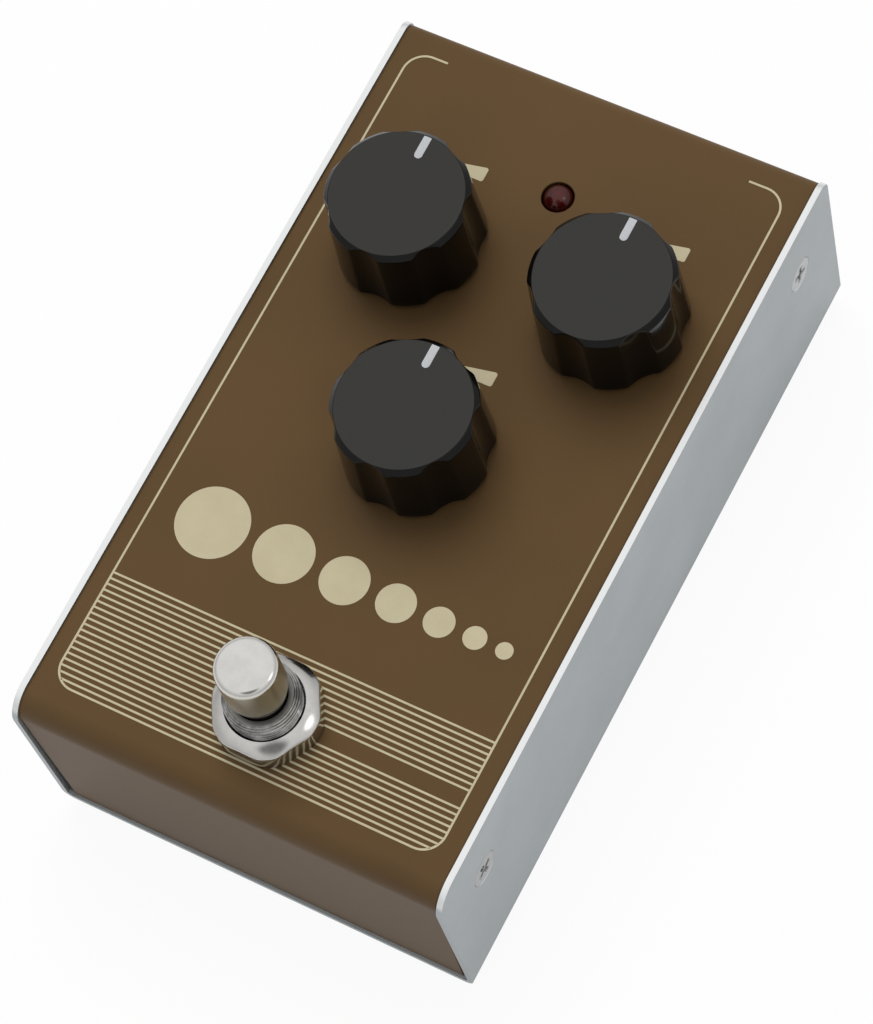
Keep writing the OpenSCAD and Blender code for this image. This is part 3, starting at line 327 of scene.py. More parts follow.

# %% [markdown]
# ## Satin steel
#
# The tray is plated sheet with a dull satin skin. The sheared top edges of its side plates are
# bright: the shear leaves bare smooth metal there, and their light colour is also a painted
# highlight, since only the faces that look up toward the overhead light get it. They draw the
# white lines along the pedal's sides. A mask finds those edges: they lie in the plates' thickness
# and face up.

# %% Satin steel
satin_steel, at = start("satin_steel")
normal = at.node("NewGeometry", out="Normal")
grain = noise(at, 7.0, 4.0, 0.7)
cloud = noise(at, 0.06, 3.0)
streak = noise(stretched(at, (4.0, 0.12, 4.0)), 1.0, 3.0)
in_plate = abs(axis(at, "X")).ease(PANEL_HALF - 0.1, PANEL_HALF + 0.2)
# sheared_and_lit marks the plates' up-facing edges: bare cut metal, lightened further as a painted
# highlight.
sheared_and_lit = axis(normal, "Z").ease(0.35, 0.7) * in_plate
tone = cloud * 0.5 + grain * 0.3 + streak * 0.2
satin = tone.ease(0.25, 0.75).blend((0.39, 0.418, 0.43), (0.46, 0.49, 0.505))
coat(satin_steel, {
    "Base Color": sheared_and_lit.blend(satin, (0.84, 0.85, 0.85)),
    "Metallic": 1.0,
    "Roughness": 0.5 - 0.16 * sheared_and_lit + 0.1 * (grain - 0.5),
}, grain * 0.8 + streak * 0.2, 0.006)

# %% [markdown]
# ## Bright nickel
#
# The switch, its nut and the other bought-in fittings are turned from brass and nickel plated.
# Plating is very smooth but never perfect: it is slightly yellow, it has faint cloudy smears
# where hands and tools have been, and fine scratches. The smears go into the roughness, where
# they soften a reflection, and they darken the colour a little. The case screws are zinc plated,
# which is the same recipe in a duller tone.

# %% Bright nickel
def nickel(name, tone, shine, dull, stain=0.9, warmth=1.0):
    """Plated metal of that tone, roughness from shine to dull in smears, and stained spots."""
    look, at = start(name)
    smear = noise(at, 0.35, 4.0, 0.6)
    scratch = noise(stretched(at, (9.0, 1.2, 1.2)), 1.0, 2.0)
    warm = (tone, tone * (1 - 0.015 * warmth), tone * (1 - 0.05 * warmth))
    smeared = (dull - shine) * smear.ease(0.35, 0.8)
    return coat(look, {
        "Base Color": smear.ease(0.3, 0.7).blend([v * stain for v in warm], warm),
        "Metallic": 1.0,
        "Roughness": shine + smeared + 0.05 * scratch.ease(0.55, 0.75),
    }, scratch * 0.5 + smear * 0.5, 0.0005)


bright_nickel = nickel("bright_nickel", 0.57, 0.1, 0.2)
nut_nickel = nickel("nut_nickel", 0.57, 0.14, 0.22)
# The bushing's top ring under the cap is rougher, and its darker tone is painted shade from the cap
# above it.
ring_shaded_nickel = nickel("ring_shaded_nickel", 0.27, 0.45, 0.55)
thread_nickel = nickel("thread_nickel", 0.36, 0.14, 0.24, 0.3)
soft_nickel = nickel("soft_nickel", 0.62, 0.2, 0.34)
dull_zinc = nickel("dull_zinc", 0.4, 0.18, 0.28, 0.9, -0.3)

# %% [markdown]
# ## Turned nickel
#
# The press button's flat top is bright but not a mirror: the lathe leaves very fine rings round
# its centre. The rings are a sine wave of the distance from the button's axis, far too shallow
# to see one by one, but they spread what the top reflects. The button's side is rougher, and its
# colour is painted darker and yellower: a painted reflection of the brown panel beside it.

# %% Turned nickel
SWITCH = (0.0, -49.75)
LATHE_RATE = 42.0

turned_nickel, at = start("turned_nickel")
smear = noise(at, 0.4, 4.0)
lathe = (from_axis(at, *SWITCH) * LATHE_RATE + smear * 3.0).sine()
# The button's side is rougher, and its darker, yellower colour is a painted reflection of the brown
# panel.
side = 1 - axis(at.node("NewGeometry", out="Normal"), "Z").ease(0.1, 0.4)
bright = smear.ease(0.3, 0.7).blend((0.61, 0.595, 0.57), (0.67, 0.655, 0.63))
coat(turned_nickel, {
    "Base Color": side.blend(bright, (0.46, 0.43, 0.34)),
    "Metallic": 1.0,
    "Roughness": 0.12 + 0.12 * side + 0.06 * smear + 0.02 * lathe,
}, lathe, 0.0005)

# %% [markdown]
# ## Shaded neck
#
# Under the cap the plunger's neck is painted almost black: painted shade for the dark gap between
# the cap and its bushing, where it shows only as a dark ring with a faint gleam here and there.

# %% Shaded neck
# The neck's near-black colour is painted shade for the gap under the cap.
neck_shade_black, at = start("neck_shade_black")
shade_mottle = noise(at, 0.8, 3.0)
coat(neck_shade_black, {
    "Base Color": shade_mottle.ease(0.3, 0.7).blend((0.004, 0.0035, 0.003), (0.011, 0.009, 0.007)),
    "Roughness": 0.35 + 0.2 * shade_mottle,
    "Specular IOR Level": 0.25,
}, shade_mottle, 0.01)

# %% [markdown]
# ## Knob plastics
#
# The knobs are moulded in black phenolic with a polished skirt. The top is finished apart from
# it: a fine spark-eroded texture that turns the gloss into an even dark grey. Two finishes share
# one mesh, so the faces of the top pick the second one.

# %% Knob plastics
gloss_black, at = start("gloss_black")
swirl = noise(at, 0.25, 4.0, 0.6)
dust = noise(at, 9.0, 2.0).ease(0.66, 0.8)
coat(gloss_black, {
    "Base Color": dust.blend((0.003, 0.0027, 0.0023), (0.008, 0.007, 0.006)),
    "Roughness": 0.06 + 0.06 * swirl + 0.1 * dust,
    "Specular IOR Level": 0.2,
}, swirl, 0.012)

face_black, at = start("face_black")
spark = noise(at, 7.0, 3.0, 0.7)
cloud = noise(at, 0.12, 2.0)
coat(face_black, {
    "Base Color": spark.ease(0.3, 0.7).blend((0.0086, 0.0082, 0.0061), (0.0142, 0.0135, 0.0104)),
    "Roughness": 0.5 + 0.12 * spark + 0.05 * cloud,
    "Specular IOR Level": 0.55,
}, spark, 0.008)

pointer_white, at = start("pointer_white")
chalk = noise(at, 5.0, 3.0)
coat(pointer_white, {
    "Base Color": chalk.ease(0.3, 0.7).blend((0.455, 0.47, 0.485), (0.52, 0.535, 0.55)),
    "Roughness": 0.45 + 0.1 * chalk,
}, chalk, 0.004)

# %% [markdown]
# ## Ink, lens and rubber
#
# The panel's print is a thick screened ink in warm cream, a little uneven as such ink is. The
# lamp is a tinted resin dome: dark red at its rim, where one looks through more of it, and
# clearer toward its crown. Its clearest spot sits off the crown toward the right and the front:
# painted light where the lens is lit, with painted shade on its far side, under the edge of its
# hole. The feet are soft black rubber with a fine bloom.

# %% Ink, lens and rubber
cream_ink, at = start("cream_ink")
mesh_mark = noise(at, 5.5, 3.0, 0.7)
thin = noise(at, 0.2, 2.0)
cover = (mesh_mark * 0.6 + thin * 0.4).ease(0.3, 0.7)
coat(cream_ink, {
    "Base Color": cover.blend((0.5, 0.44, 0.285), (0.57, 0.505, 0.34)),
    "Roughness": 0.5 + 0.15 * mesh_mark,
    "Specular IOR Level": 0.3,
}, mesh_mark, 0.006)

LAMP = (0.0, 44.65)
# The clearest spot is shifted to the lit side: painted light there, and painted shade on the far
# side.
CLEAREST_LIT = (0.5, -0.3)
red_lens, at = start("red_lens")
deep_and_shaded = from_axis(at, LAMP[0] + CLEAREST_LIT[0], LAMP[1] + CLEAREST_LIT[1]).ease(0.3, 2.3)
swirl = noise(at, 1.2, 3.0)
coat(red_lens, {
    "Base Color": (deep_and_shaded * 0.8 + swirl * 0.2).blend((0.075, 0.005, 0.004), (0.03, 0.002, 0.0015)),
    "Roughness": 0.12 + 0.06 * swirl,
    "Specular IOR Level": 0.4,
}, swirl, 0.002)

black_rubber, at = start("black_rubber")
bloom = noise(at, 2.5, 4.0, 0.65)
coat(black_rubber, {
    "Base Color": bloom.ease(0.35, 0.7).blend((0.011, 0.011, 0.011), (0.03, 0.03, 0.031)),
    "Roughness": 0.7 + 0.2 * bloom,
    "Specular IOR Level": 0.35,
}, bloom, 0.03)

# %% [markdown]
# ## Finishes inside the case
#
# What is behind the panel shows only when the case is opened, but it gets real finishes as well:
# moulded plastics with a fine texture, tinned leads, and a green board whose solder mask is
# lighter where copper runs under it. The copper is a pattern of straight tracks: a wave in X and
# one in Y, each cut to a narrow line.

# %% Finishes inside the case
def moulded(name, dark, light, shine):
    """Plain moulded plastic: a fine texture and a slow drift of tone."""
    look, at = start(name)
    fine = noise(at, 4.0, 4.0, 0.65)
    drift = noise(at, 0.2, 2.0)
    return coat(look, {
        "Base Color": (fine * 0.5 + drift * 0.5).ease(0.3, 0.7).blend(dark, light),
        "Roughness": shine + 0.16 * fine,
    }, fine, 0.01)


dark_plastic = moulded("dark_plastic", (0.008, 0.008, 0.009), (0.018, 0.018, 0.019), 0.32)
blue_plastic = moulded("blue_plastic", (0.012, 0.05, 0.20), (0.02, 0.075, 0.27), 0.3)
grey_ribbon = moulded("grey_ribbon", (0.26, 0.26, 0.27), (0.36, 0.36, 0.37), 0.45)
tinned = nickel("tinned_wire", 0.66, 0.3, 0.45)

board_green, at = start("board_green")
weave = noise(at, 3.0, 3.0)
along = (axis(at, "Y") * 1.7).sine().ease(0.86, 0.94)
across = (axis(at, "X") * 2.1).sine().ease(0.86, 0.94)
gate = noise(at, 0.11, 1.0).ease(0.49, 0.51)
copper = gate * across + (1 - gate) * along
solder_mask = weave.blend((0.008, 0.06, 0.022), (0.012, 0.085, 0.032))
coat(board_green, {
    "Base Color": copper.blend(solder_mask, (0.035, 0.17, 0.06)),
    "Roughness": 0.32 + 0.12 * weave,
}, copper * 0.8 + weave * 0.2, 0.03)

# %% [markdown]
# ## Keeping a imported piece
#
# Sheet metal and small moulded pieces already have the right shape, but their edges are
# perfectly sharp and no real edge is. Three modifiers mend that without touching the mesh: a
# weld joins the faces' own corners, a bevel rounds the sharp edges by a tenth or two, and
# weighted normals keep the flat faces flat beside those small rounds.

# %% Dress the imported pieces
def dress(look, edge, *names):
    """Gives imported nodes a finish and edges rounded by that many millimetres."""
    for name in names:
        thing = nodes[name]
        thing.material_slots[0].link = "OBJECT"
        thing.material_slots[0].material = look
        weld = thing.modifiers.new("weld", "WELD")
        weld.merge_threshold = 1e-6
        bevel = thing.modifiers.new("edge", "BEVEL")
        bevel.width = edge * MM
        bevel.segments = 2
        bevel.limit_method = "ANGLE"
        bevel.angle_limit = math.radians(38)
        even = thing.modifiers.new("even", "WEIGHTED_NORMAL")
        even.keep_sharp = False
    print(f"{look.name} on {', '.join(names)}")


dress(satin_steel, 0.12, "base_tray", "footswitch_frame", "time_pot", "mix_pot", "repeats_pot")
dress(brown_paint, 0.15, "top_cover")
dress(brown_paint, 0.08, "screw_brackets")
dress(black_rubber, 0.25, "rubber_feet")
dress(soft_nickel, 0.08, "pot_nuts", "pot_washers", "jack_washers", "footswitch_back_nut")
dress(soft_nickel, 0.05, "footswitch_lock_washer", "time_shaft", "mix_shaft", "repeats_shaft",
      "power_jack_pin")
dress(dark_plastic, 0.15, "input_jack_body", "output_jack_body", "power_jack_body", "chips",
      "capacitors")
dress(blue_plastic, 0.2, "footswitch_housing")
dress(tinned, 0.03, "pot_pins", "lamp_leads", "footswitch_lugs", "input_jack_contact",
      "output_jack_contact")
dress(tinned, 0.01, "footswitch_spring")
dress(board_green, 0.05, "main_board", "switch_board")
dress(grey_ribbon, 0.05, "board_ribbon")

# %% [markdown]
# ## Turning new pieces
#
# Most of the fittings are turned or moulded round an axis. A Screw modifier could spin a
# profile, but flutes, flats and threads need a radius that also changes with the angle, so the
# rings of points are worked out here. `eased` rounds the corners of a profile, `rings` skins it
# round the axis, `finish_mesh` makes a mesh of that, and `place` stands it where it belongs.

# %% Helpers for turned pieces
def eased(corners, steps=4):
    """A profile of (radius, height) points from corners (radius, height, rounding)."""
    points = []
    for i, (radius, height, round_r) in enumerate(corners):
        tip = Vector((radius, height))
        if not round_r:
            points.append(tuple(tip))
            continue
        before = (Vector(corners[i - 1][:2]) - tip).normalized()
        after = (Vector(corners[(i + 1) % len(corners)][:2]) - tip).normalized()
        half = before.angle(after) / 2
        centre = tip + (before + after).normalized() * (round_r / math.sin(half))
        first = tip + before * (round_r / math.tan(half)) - centre
        last = tip + after * (round_r / math.tan(half)) - centre
        sweep_angle = first.angle(last)
        for k in range(steps + 1):
            share = k / steps
            mix = first * math.sin((1 - share) * sweep_angle) + last * math.sin(share * sweep_angle)
            points.append(tuple(centre + mix / math.sin(sweep_angle)))
    return points


def between(first, last, count):
    """Points in a straight run from first to last, without the ends."""
    spots = [k / (count + 1) for k in range(1, count + 1)]
    return [tuple(a + (b - a) * s for a, b in zip(first, last)) for s in spots]


def finish_mesh(name, points, faces, looks, sharp=32):
    """A closed mesh in metres: faces outward and smooth, edges crisp where it turns sharply."""
    mesh = bpy.data.meshes.new(name)
    mesh.from_pydata([[v * MM for v in p] for p in points], [], faces)
    work = bmesh.new()
    work.from_mesh(mesh)
    bmesh.ops.recalc_face_normals(work, faces=work.faces)
    work.to_mesh(mesh)
    work.free()
    for look in looks:
        mesh.materials.append(look)
    mesh.polygons.foreach_set("use_smooth", [True] * len(mesh.polygons))
    mesh.set_sharp_from_angle(angle=math.radians(sharp))
    return mesh


def rings(rows, around, bend=None, loop=False):
    """Points and faces of a skin over rings of (radius, height), which bend may reshape."""
    points, rounds, faces = [], [], []
    for radius, height in rows:
        count = around if radius > 1e-6 else 1
        rounds.append(range(len(points), len(points) + count))
        for i in range(count):
            angle = 2 * math.pi * i / around
            r, z = bend(radius, height, angle) if bend and count > 1 else (radius, height)
            points.append((r * math.cos(angle), r * math.sin(angle), z))
    for low, high in zip(rounds, [*rounds[1:], *rounds[:1 if loop else 0]]):
        for i in range(around):
            j = (i + 1) % around
            face = [low[i % len(low)], low[j % len(low)], high[j % len(high)], high[i % len(high)]]
            face = list(dict.fromkeys(face))
            if len(face) > 2:
                faces.append(face)
    return points, faces


def place(name, mesh, body, stands_for=(), spot=(0, 0, 0), turn=None):
    """Stands a mesh at a spot in millimetres, on a body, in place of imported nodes."""
    if turn:
        mesh.transform(turn.to_4x4())
    mesh.transform(Matrix.Translation(Vector(spot) * MM))
    thing = bpy.data.objects.new(name, mesh)
    bpy.context.scene.collection.objects.link(thing)
    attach(thing, body)
    if stands_for:
        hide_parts(*stands_for)
    print(f"{name}: {len(mesh.polygons)} faces on {body}")


def soft_min(a, b, ease_w):
    """The smaller of two lengths, with the crease between them rounded over ease_w."""
    near = max(ease_w - abs(a - b), 0) / ease_w
    return min(a, b) - near * near * ease_w / 4


# %% [markdown]
# ## The knobs
#
# Each knob is one moulding: a skirt that tapers upwards, seven scooped flutes for the fingers, a
# narrow bevel and the textured top. The flutes are cylinders that lean in with the cone, so they
# reach the top's edge and leave the bevel on the ridges only. That is worked out as the smaller
# of two radii, the cone's and the flute's, with a little rounding on the ridge. Inside, a hub
# holds the shaft.

# %% Knob shape
KNOB_Z, KNOB_TOP = 41.3, 55.9
FLUTES, FLUTE_R, FLUTE_OUT, FLUTE_LEAN, RIDGE_EASE = 7, 6.0, 17.1, 0.36, 0.16
RIM = (11.5, 55.1)
FOOT_R, FACE_R = 12.1, 10.7
SHAFT_R, HUB_R, HOLLOW_R, HUB_Z, ROOF_Z = 3.05, 5, 9.2, 47.0, 53.7


def fluted(radius, height, angle):
    """Radius of the skirt where a flute may have cut it back."""
    step = 2 * math.pi / FLUTES
    off = (angle - math.pi / 2) % step - step / 2
    away = FLUTE_OUT - FLUTE_LEAN * (height - KNOB_Z) / (KNOB_TOP - KNOB_Z)
    side = away * math.sin(off)
    if abs(side) >= FLUTE_R or radius < FACE_R - 0.2:
        return radius, height
    scoop = away * math.cos(off) - math.sqrt(FLUTE_R**2 - side**2)
    return soft_min(radius, scoop, RIDGE_EASE), height


hub = [(0, ROOF_Z), (SHAFT_R, ROOF_Z), (SHAFT_R, HUB_Z), (HUB_R, HUB_Z), (HUB_R, ROOF_Z)]
inside = [*hub, (HOLLOW_R, ROOF_Z), (HOLLOW_R, KNOB_Z + 0.2)]
skirt = eased([(HOLLOW_R, KNOB_Z, 0), (FOOT_R, KNOB_Z, 0.3), (*RIM, 0)])[:-1]
skirt += between(skirt[-1], (RIM[0] + 0.01, RIM[1] - 0.25), 14)
lip = eased([(11.52, 54.8, 0), (*RIM, 0.22), (FACE_R, KNOB_TOP, 0.16), (10.3, KNOB_TOP, 0)])
lip = lip[:6] + between(lip[5], lip[6], 6) + lip[6:]
knob_rows = inside + skirt + lip + [(9.0, KNOB_TOP), (5.0, KNOB_TOP), (0, KNOB_TOP)]
print(f"knob profile of {len(knob_rows)} rings")

# %% Knobs and their pointers
KNOBS = {"time": (-17.7, 28.95), "mix": (17.7, 28.95), "repeats": (0.0, -1.95)}
POINTER_IN, POINTER_OUT, POINTER_W = 6.6, 10.56, 1.31


def pointer_outline():
    """Outline of the pointer from above: a round inner end and an end that follows the rim."""
    half = POINTER_W / 2
    tip = [math.asin(half / POINTER_OUT) * (1 - k / 4) for k in range(9)]
    end = [(POINTER_OUT * math.sin(a), POINTER_OUT * math.cos(a)) for a in tip]
    back = [math.pi * k / 12 for k in range(13)]
    bow = [(-half * math.cos(a), POINTER_IN + half - half * math.sin(a)) for a in back]
    return end + bow


def bar(layers):
    """Points and faces of a bar whose outline changes from layer to layer, closed at both ends."""
    count = len(layers[0][0])
    points = [(x, y, z) for outline, z in layers for x, y in outline]
    faces = []
    for low in range(0, len(points) - count, count):
        for i in range(count):
            j = (i + 1) % count
            faces.append([low + i, low + j, low + count + j, low + count + i])
    faces += [list(range(count)), list(range(len(points) - count, len(points)))]
    return points, faces


for control, (x, y) in KNOBS.items():
    body, spot = f"{control}_control", (x, y, 0)
    points, faces = rings(knob_rows, FLUTES * 36, fluted)
    mesh = finish_mesh(f"{control}_knob_turned", points, faces, [gloss_black, face_black], 28)
    for face in mesh.polygons:
        top = face.center.z > (KNOB_TOP - 0.002) * MM
        face.material_index = 1 if top and face.center.xy.length < (FACE_R - 0.1) * MM else 0
    place(f"{control}_knob_turned", mesh, body, [f"{control}_knob"], spot)

    outline = pointer_outline()
    middle = POINTER_IN + 2
    shrunk = [(px * 0.93, middle + (py - middle) * 0.985) for px, py in outline]
    points, faces = bar([(outline, 55.5), (outline, 55.925), (shrunk, 55.95)])
    mesh = finish_mesh(f"{control}_pointer_bar", points, faces, [pointer_white])
    place(f"{control}_pointer_bar", mesh, body, [f"{control}_pointer"], spot)

# %% [markdown]
# ## The press switch
#
# A round-edged cap slides in a threaded bushing, which a nut with a coned top clamps to the
# panel. The thread is a true helix: at each angle the triangle wave that shapes it starts a
# little higher, so the ridges climb one pitch in a turn. On the nut the cone and the six flats
# are again two radii of which the smaller one counts, which gives the curved edges that every
# machined nut has.

# %% Cap
CAP_R, CAP_Z, CAP_TOP = 4.95, 50.4, 60.7
NECK_R, HOLE_R, COLLAR_R = 4.0, 3.2, 5.0
ARC_R, ARC_Z = 1.3, 59.44

cap_rows = [(0, 56.7), (HOLE_R, 56.7), (HOLE_R, 33.5), (COLLAR_R, 33.5), (COLLAR_R, 34.7)]
cap_rows += [(NECK_R, 34.7), (NECK_R, CAP_Z)]
cap_foot = [(NECK_R, CAP_Z, 0), (4.4, CAP_Z, 0.1), (CAP_R, 52.6, 0.4)]
cap_rows += eased([*cap_foot, (CAP_R, ARC_Z, 0)], 10)[1:]
for turn in [math.radians(90 - 76 * k / 12) for k in range(1, 13)]:
    cap_rows.append((CAP_R - ARC_R + ARC_R * math.sin(turn), ARC_Z + ARC_R * math.cos(turn)))
cap_rows += [(3.9, CAP_TOP), (2.5, CAP_TOP), (1.2, CAP_TOP), (0.3, CAP_TOP)]
cap_rows += [(0.2, CAP_TOP - 0.005), (0.1, CAP_TOP - 0.04), (0, CAP_TOP - 0.045)]
points, faces = rings(cap_rows, 128)
mesh = finish_mesh("press_cap", points, faces, [turned_nickel, neck_shade_black], 40)
# The neck's faces under the cap take the near-black finish, which is painted shade.
for face in mesh.polygons:
    neck = face.center.z < (CAP_Z - 0.02) * MM
    face.material_index = 1 if neck and face.center.xy.length < (NECK_R + 0.05) * MM else 0
place("press_cap", mesh, "footswitch_button", ["footswitch_plunger"], (*SWITCH, 0))

# %% [markdown]
# Inside the cap a return spring stands on the bottom of the housing's well. A rigid spring would
# poke through the cap when the button goes down. Here the spring only gets a mesh of its own.

# %% Return spring
spring = nodes["footswitch_spring"]
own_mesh(spring)

# %% Bushing
PITCH, THREAD_R, THREAD_D = 0.75, 6.0, 0.42
THREAD_LOW, THREAD_HIGH = 36.2, 47.9
BORE_R, FLANGE_R, BUSH_LOW, BUSH_TOP = 4.06, 7.0, 35.1, 48.9


def threaded(radius, height, angle):
    """Radius of the bushing with its helical thread."""
    if radius < THREAD_R - 0.01 or not THREAD_LOW < height < THREAD_HIGH:
        return radius, height
    wave = abs(2 * ((height / PITCH - angle / (2 * math.pi)) % 1) - 1)
    fade = min(1, (THREAD_HIGH - height) / 0.3)
    return radius - THREAD_D * (0.5 - 0.5 * math.cos(math.pi * wave)) * fade, height


step = PITCH / 9
count = int((THREAD_HIGH - THREAD_LOW) / step) + 1
bush_rows = [(BORE_R, BUSH_LOW), (FLANGE_R, BUSH_LOW), (FLANGE_R, 36.1), (THREAD_R, 36.1)]
bush_rows += [(THREAD_R, THREAD_LOW + step * k) for k in range(count)]
for k in range(3):
    bush_rows += [(THREAD_R - 0.3 * k, 48.0 + 0.3 * k), (5.78 - 0.3 * k, 48.06 + 0.3 * k)]
top_ring = [(5.18, 48.66, 0), (5.1, BUSH_TOP, 0.05), (4.3, BUSH_TOP, 0.06), (BORE_R, 48.6, 0)]
bush_rows += eased(top_ring)[1:]
points, faces = rings(bush_rows, 120, threaded, loop=True)
mesh = finish_mesh("press_bushing", points, faces, [thread_nickel, ring_shaded_nickel], 30)
# The top ring's faces take the darker finish, painted shade under the cap.
for face in mesh.polygons:
    face.material_index = 1 if face.center.z > (BUSH_TOP - 0.005) * MM else 0
place("press_bushing", mesh, "enclosure", ["footswitch_bushing"], (*SWITCH, 0))

# %% Coned nut
def six_flats(across, ease_w):
    """A bend that keeps a ring inside six flats that far across."""
    def bend(radius, height, angle):
        lean = (angle - math.pi / 2 + math.pi / 6) % (math.pi / 3) - math.pi / 6
        return soft_min(radius, across / 2 / math.cos(lean), ease_w), height
    return bend


NUT_LOW, NUT_TOP, NUT_R, NUT_BORE, ACROSS = 40.5, 45.5, 8.65, 6.08, 16.4
FLAT_TOP, FACE_IN, SWELL, CROWN_STEPS = 44.1, 6.3, 0.16, 28


def crown(share):
    """A point on the nut's crowned top, from the turned corner at 0 to the flat face at 1."""
    swell = SWELL * math.sin(math.pi * share)
    return NUT_R + (FACE_IN - NUT_R) * share, FLAT_TOP + (NUT_TOP - FLAT_TOP) * share + swell


side_low, side_high = (NUT_R, NUT_LOW + 0.2), (NUT_R, FLAT_TOP - 0.2)
nut_rows = [(NUT_BORE, NUT_LOW), (8.4, NUT_LOW), side_low, *between(side_low, side_high, 4)]
nut_rows += [(NUT_R - 0.01, FLAT_TOP - 0.2)]
nut_rows += [crown(k / CROWN_STEPS) for k in range(1, CROWN_STEPS)]
bevel = [(*nut_rows[-1], 0), (FACE_IN, NUT_TOP, 0.06), (6.2, 45.44, 0.03), (NUT_BORE, 45.1, 0)]
nut_rows += eased(bevel)[1:]
points, faces = rings(nut_rows, 288, six_flats(ACROSS, 0.3), loop=True)
mesh = finish_mesh("press_nut", points, faces, [nut_nickel], 50)
place("press_nut", mesh, "enclosure", ["footswitch_nut"], (*SWITCH, 0))

# %% [markdown]
# ## The lamp
#
# The lamp is a 5 mm dome whose crown stands a little proud of its hole in the panel. Its lower
# body has the flange that such lamps have.

# %% Lamp
LAMP_LOW, FLANGE_TOP, LAMP_FLANGE, DOME_Z, DOME_R = 33.2, 34.2, 2.9, 39.3, 2.5
rises = [math.pi / 2 * k / 16 for k in range(16)]
dome = [(DOME_R * math.cos(a), DOME_Z + DOME_R * math.sin(a)) for a in rises]
flange = [(0, LAMP_LOW, 0), (LAMP_FLANGE, LAMP_LOW, 0.1), (LAMP_FLANGE, FLANGE_TOP, 0.1)]
lamp_rows = [*eased([*flange, (DOME_R, FLANGE_TOP, 0)]), *dome, (0, DOME_Z + DOME_R)]
points, faces = rings(lamp_rows, 72)
mesh = finish_mesh("lamp_dome", points, faces, [red_lens], 40)
place("lamp_dome", mesh, "enclosure", ["status_lamp"], (*LAMP, 0))

# %% [markdown]
# ## The case screws
#
# Four countersunk screws hold the tray to the cover through its side plates. The cross recess is
# a height that is pressed into the head: inside the outline of two crossed bars the surface sinks
# steeply, and it is deepest in the middle, as a driver's tip is pointed. The same rings make the
# cone under the head and a threaded shank.

# %% Case screws
SCREW_X = 37.2
SCREW_SPOTS = [(-54.85, 28.8), (52.55, 28.8)]
BAR_L, BAR_W, RECESS_D = 1.7, 0.42, 0.9
SHANK_R, SCREW_PITCH, SCREW_THREAD_D, SCREW_L = 1.45, 0.5, 0.22, 6.0


def recessed(radius, height, angle):
    """Sinks the cross recess into the flat head and cuts the thread into the shank."""
    if height > -0.12:
        x, y = abs(radius * math.cos(angle)), abs(radius * math.sin(angle))
        inside_by = max(min(BAR_L - x, BAR_W - y), min(BAR_W - x, BAR_L - y))
        share = min(max((inside_by + 0.03) / 0.16, 0), 1)
        return radius, height - (RECESS_D - 0.2 * radius) * share * share * (3 - 2 * share)
    if height < -1.7 and radius > 1.3:
        wave = abs(2 * ((height / SCREW_PITCH - angle / (2 * math.pi)) % 1) - 1)
        return radius - SCREW_THREAD_D * wave, height
    return radius, height


head = [(0.05 * k, -0.02 * (k / 56) ** 2) for k in range(57)]
under = [(2.86, -0.05), (2.9, -0.12), (2.88, -0.2), (SHANK_R, -1.65)]
shank = [(SHANK_R, -1.72 - SCREW_PITCH / 8 * k) for k in range(66)]
screw_rows = head + under + shank + [(1.1, -SCREW_L), (0, -SCREW_L)]
points, faces = rings(screw_rows, 96, recessed)
for side, face_name in ((1, "right"), (-1, "left")):
    for k, (y, z) in enumerate(SCREW_SPOTS):
        name = f"case_screw_{face_name}_{'front' if k == 0 else 'rear'}"
        mesh = finish_mesh(name, points, faces, [dull_zinc], 40)
        driven = Matrix.Rotation(0.35 + 0.9 * k, 3, "Z")
        stance = Matrix.Rotation(side * math.pi / 2, 3, "Y") @ driven
        place(name, mesh, "enclosure", ["case_screws"], (side * SCREW_X, y, z), stance)

# %% [markdown]
# ## The jacks at the rear
#
# Two jacks take the pedal's leads. Each has a sleeve with a rounded mouth and a thin nut with
# chamfered corners. The nut uses the same six flats as the switch's, and lies on its side.

# %% Jack nuts and sleeves
JACK_X, JACK_Z = 20.0, 22.35
TO_REAR = Matrix.Rotation(-math.pi / 2, 3, "X")
JACK_NUT_R, JACK_NUT_BORE, JACK_ACROSS = 7.3, 4.83, 12.5
JACK_NUT_LOW, JACK_NUT_TOP = 64.15, 65.95
SLEEVE_IN, SLEEVE_OUT, SLEEVE_LOW, SLEEVE_TOP = 3.27, 4.72, 54.65, 66.15

chamfer = [(JACK_NUT_R - 0.8 * k / 6, 65.75 + 0.2 * k / 6) for k in range(7)]
jack_nut_rows = [(JACK_NUT_BORE, JACK_NUT_LOW), (6.5, JACK_NUT_LOW), (JACK_NUT_R, 64.35)]
jack_nut_rows += [*chamfer, (5.1, JACK_NUT_TOP), (JACK_NUT_BORE, 65.7)]
nut_points, nut_faces = rings(jack_nut_rows, 180, six_flats(JACK_ACROSS, 0.12), loop=True)
mouth = [(SLEEVE_IN, 65.6, 0), (SLEEVE_IN, SLEEVE_TOP, 0.3)]
mouth += [(SLEEVE_OUT, SLEEVE_TOP, 0.25), (SLEEVE_OUT, 65.6, 0)]
sleeve_rows = [(SLEEVE_IN, SLEEVE_LOW), *eased(mouth), (SLEEVE_OUT, SLEEVE_LOW)]
sleeve_points, sleeve_faces = rings(sleeve_rows, 96, loop=True)

for lead, x in (("input", JACK_X), ("output", -JACK_X)):
    spot = (x, 0, JACK_Z)
    mesh = finish_mesh(f"{lead}_jack_nut", nut_points, nut_faces, [bright_nickel], 35)
    place(f"{lead}_jack_nut", mesh, "enclosure", ["jack_nuts"], spot, TO_REAR)
    mesh = finish_mesh(f"{lead}_jack_mouth", sleeve_points, sleeve_faces, [bright_nickel], 35)
    sleeve = [f"{lead}_jack_sleeve"]
    place(f"{lead}_jack_mouth", mesh, "enclosure", sleeve, spot, TO_REAR)

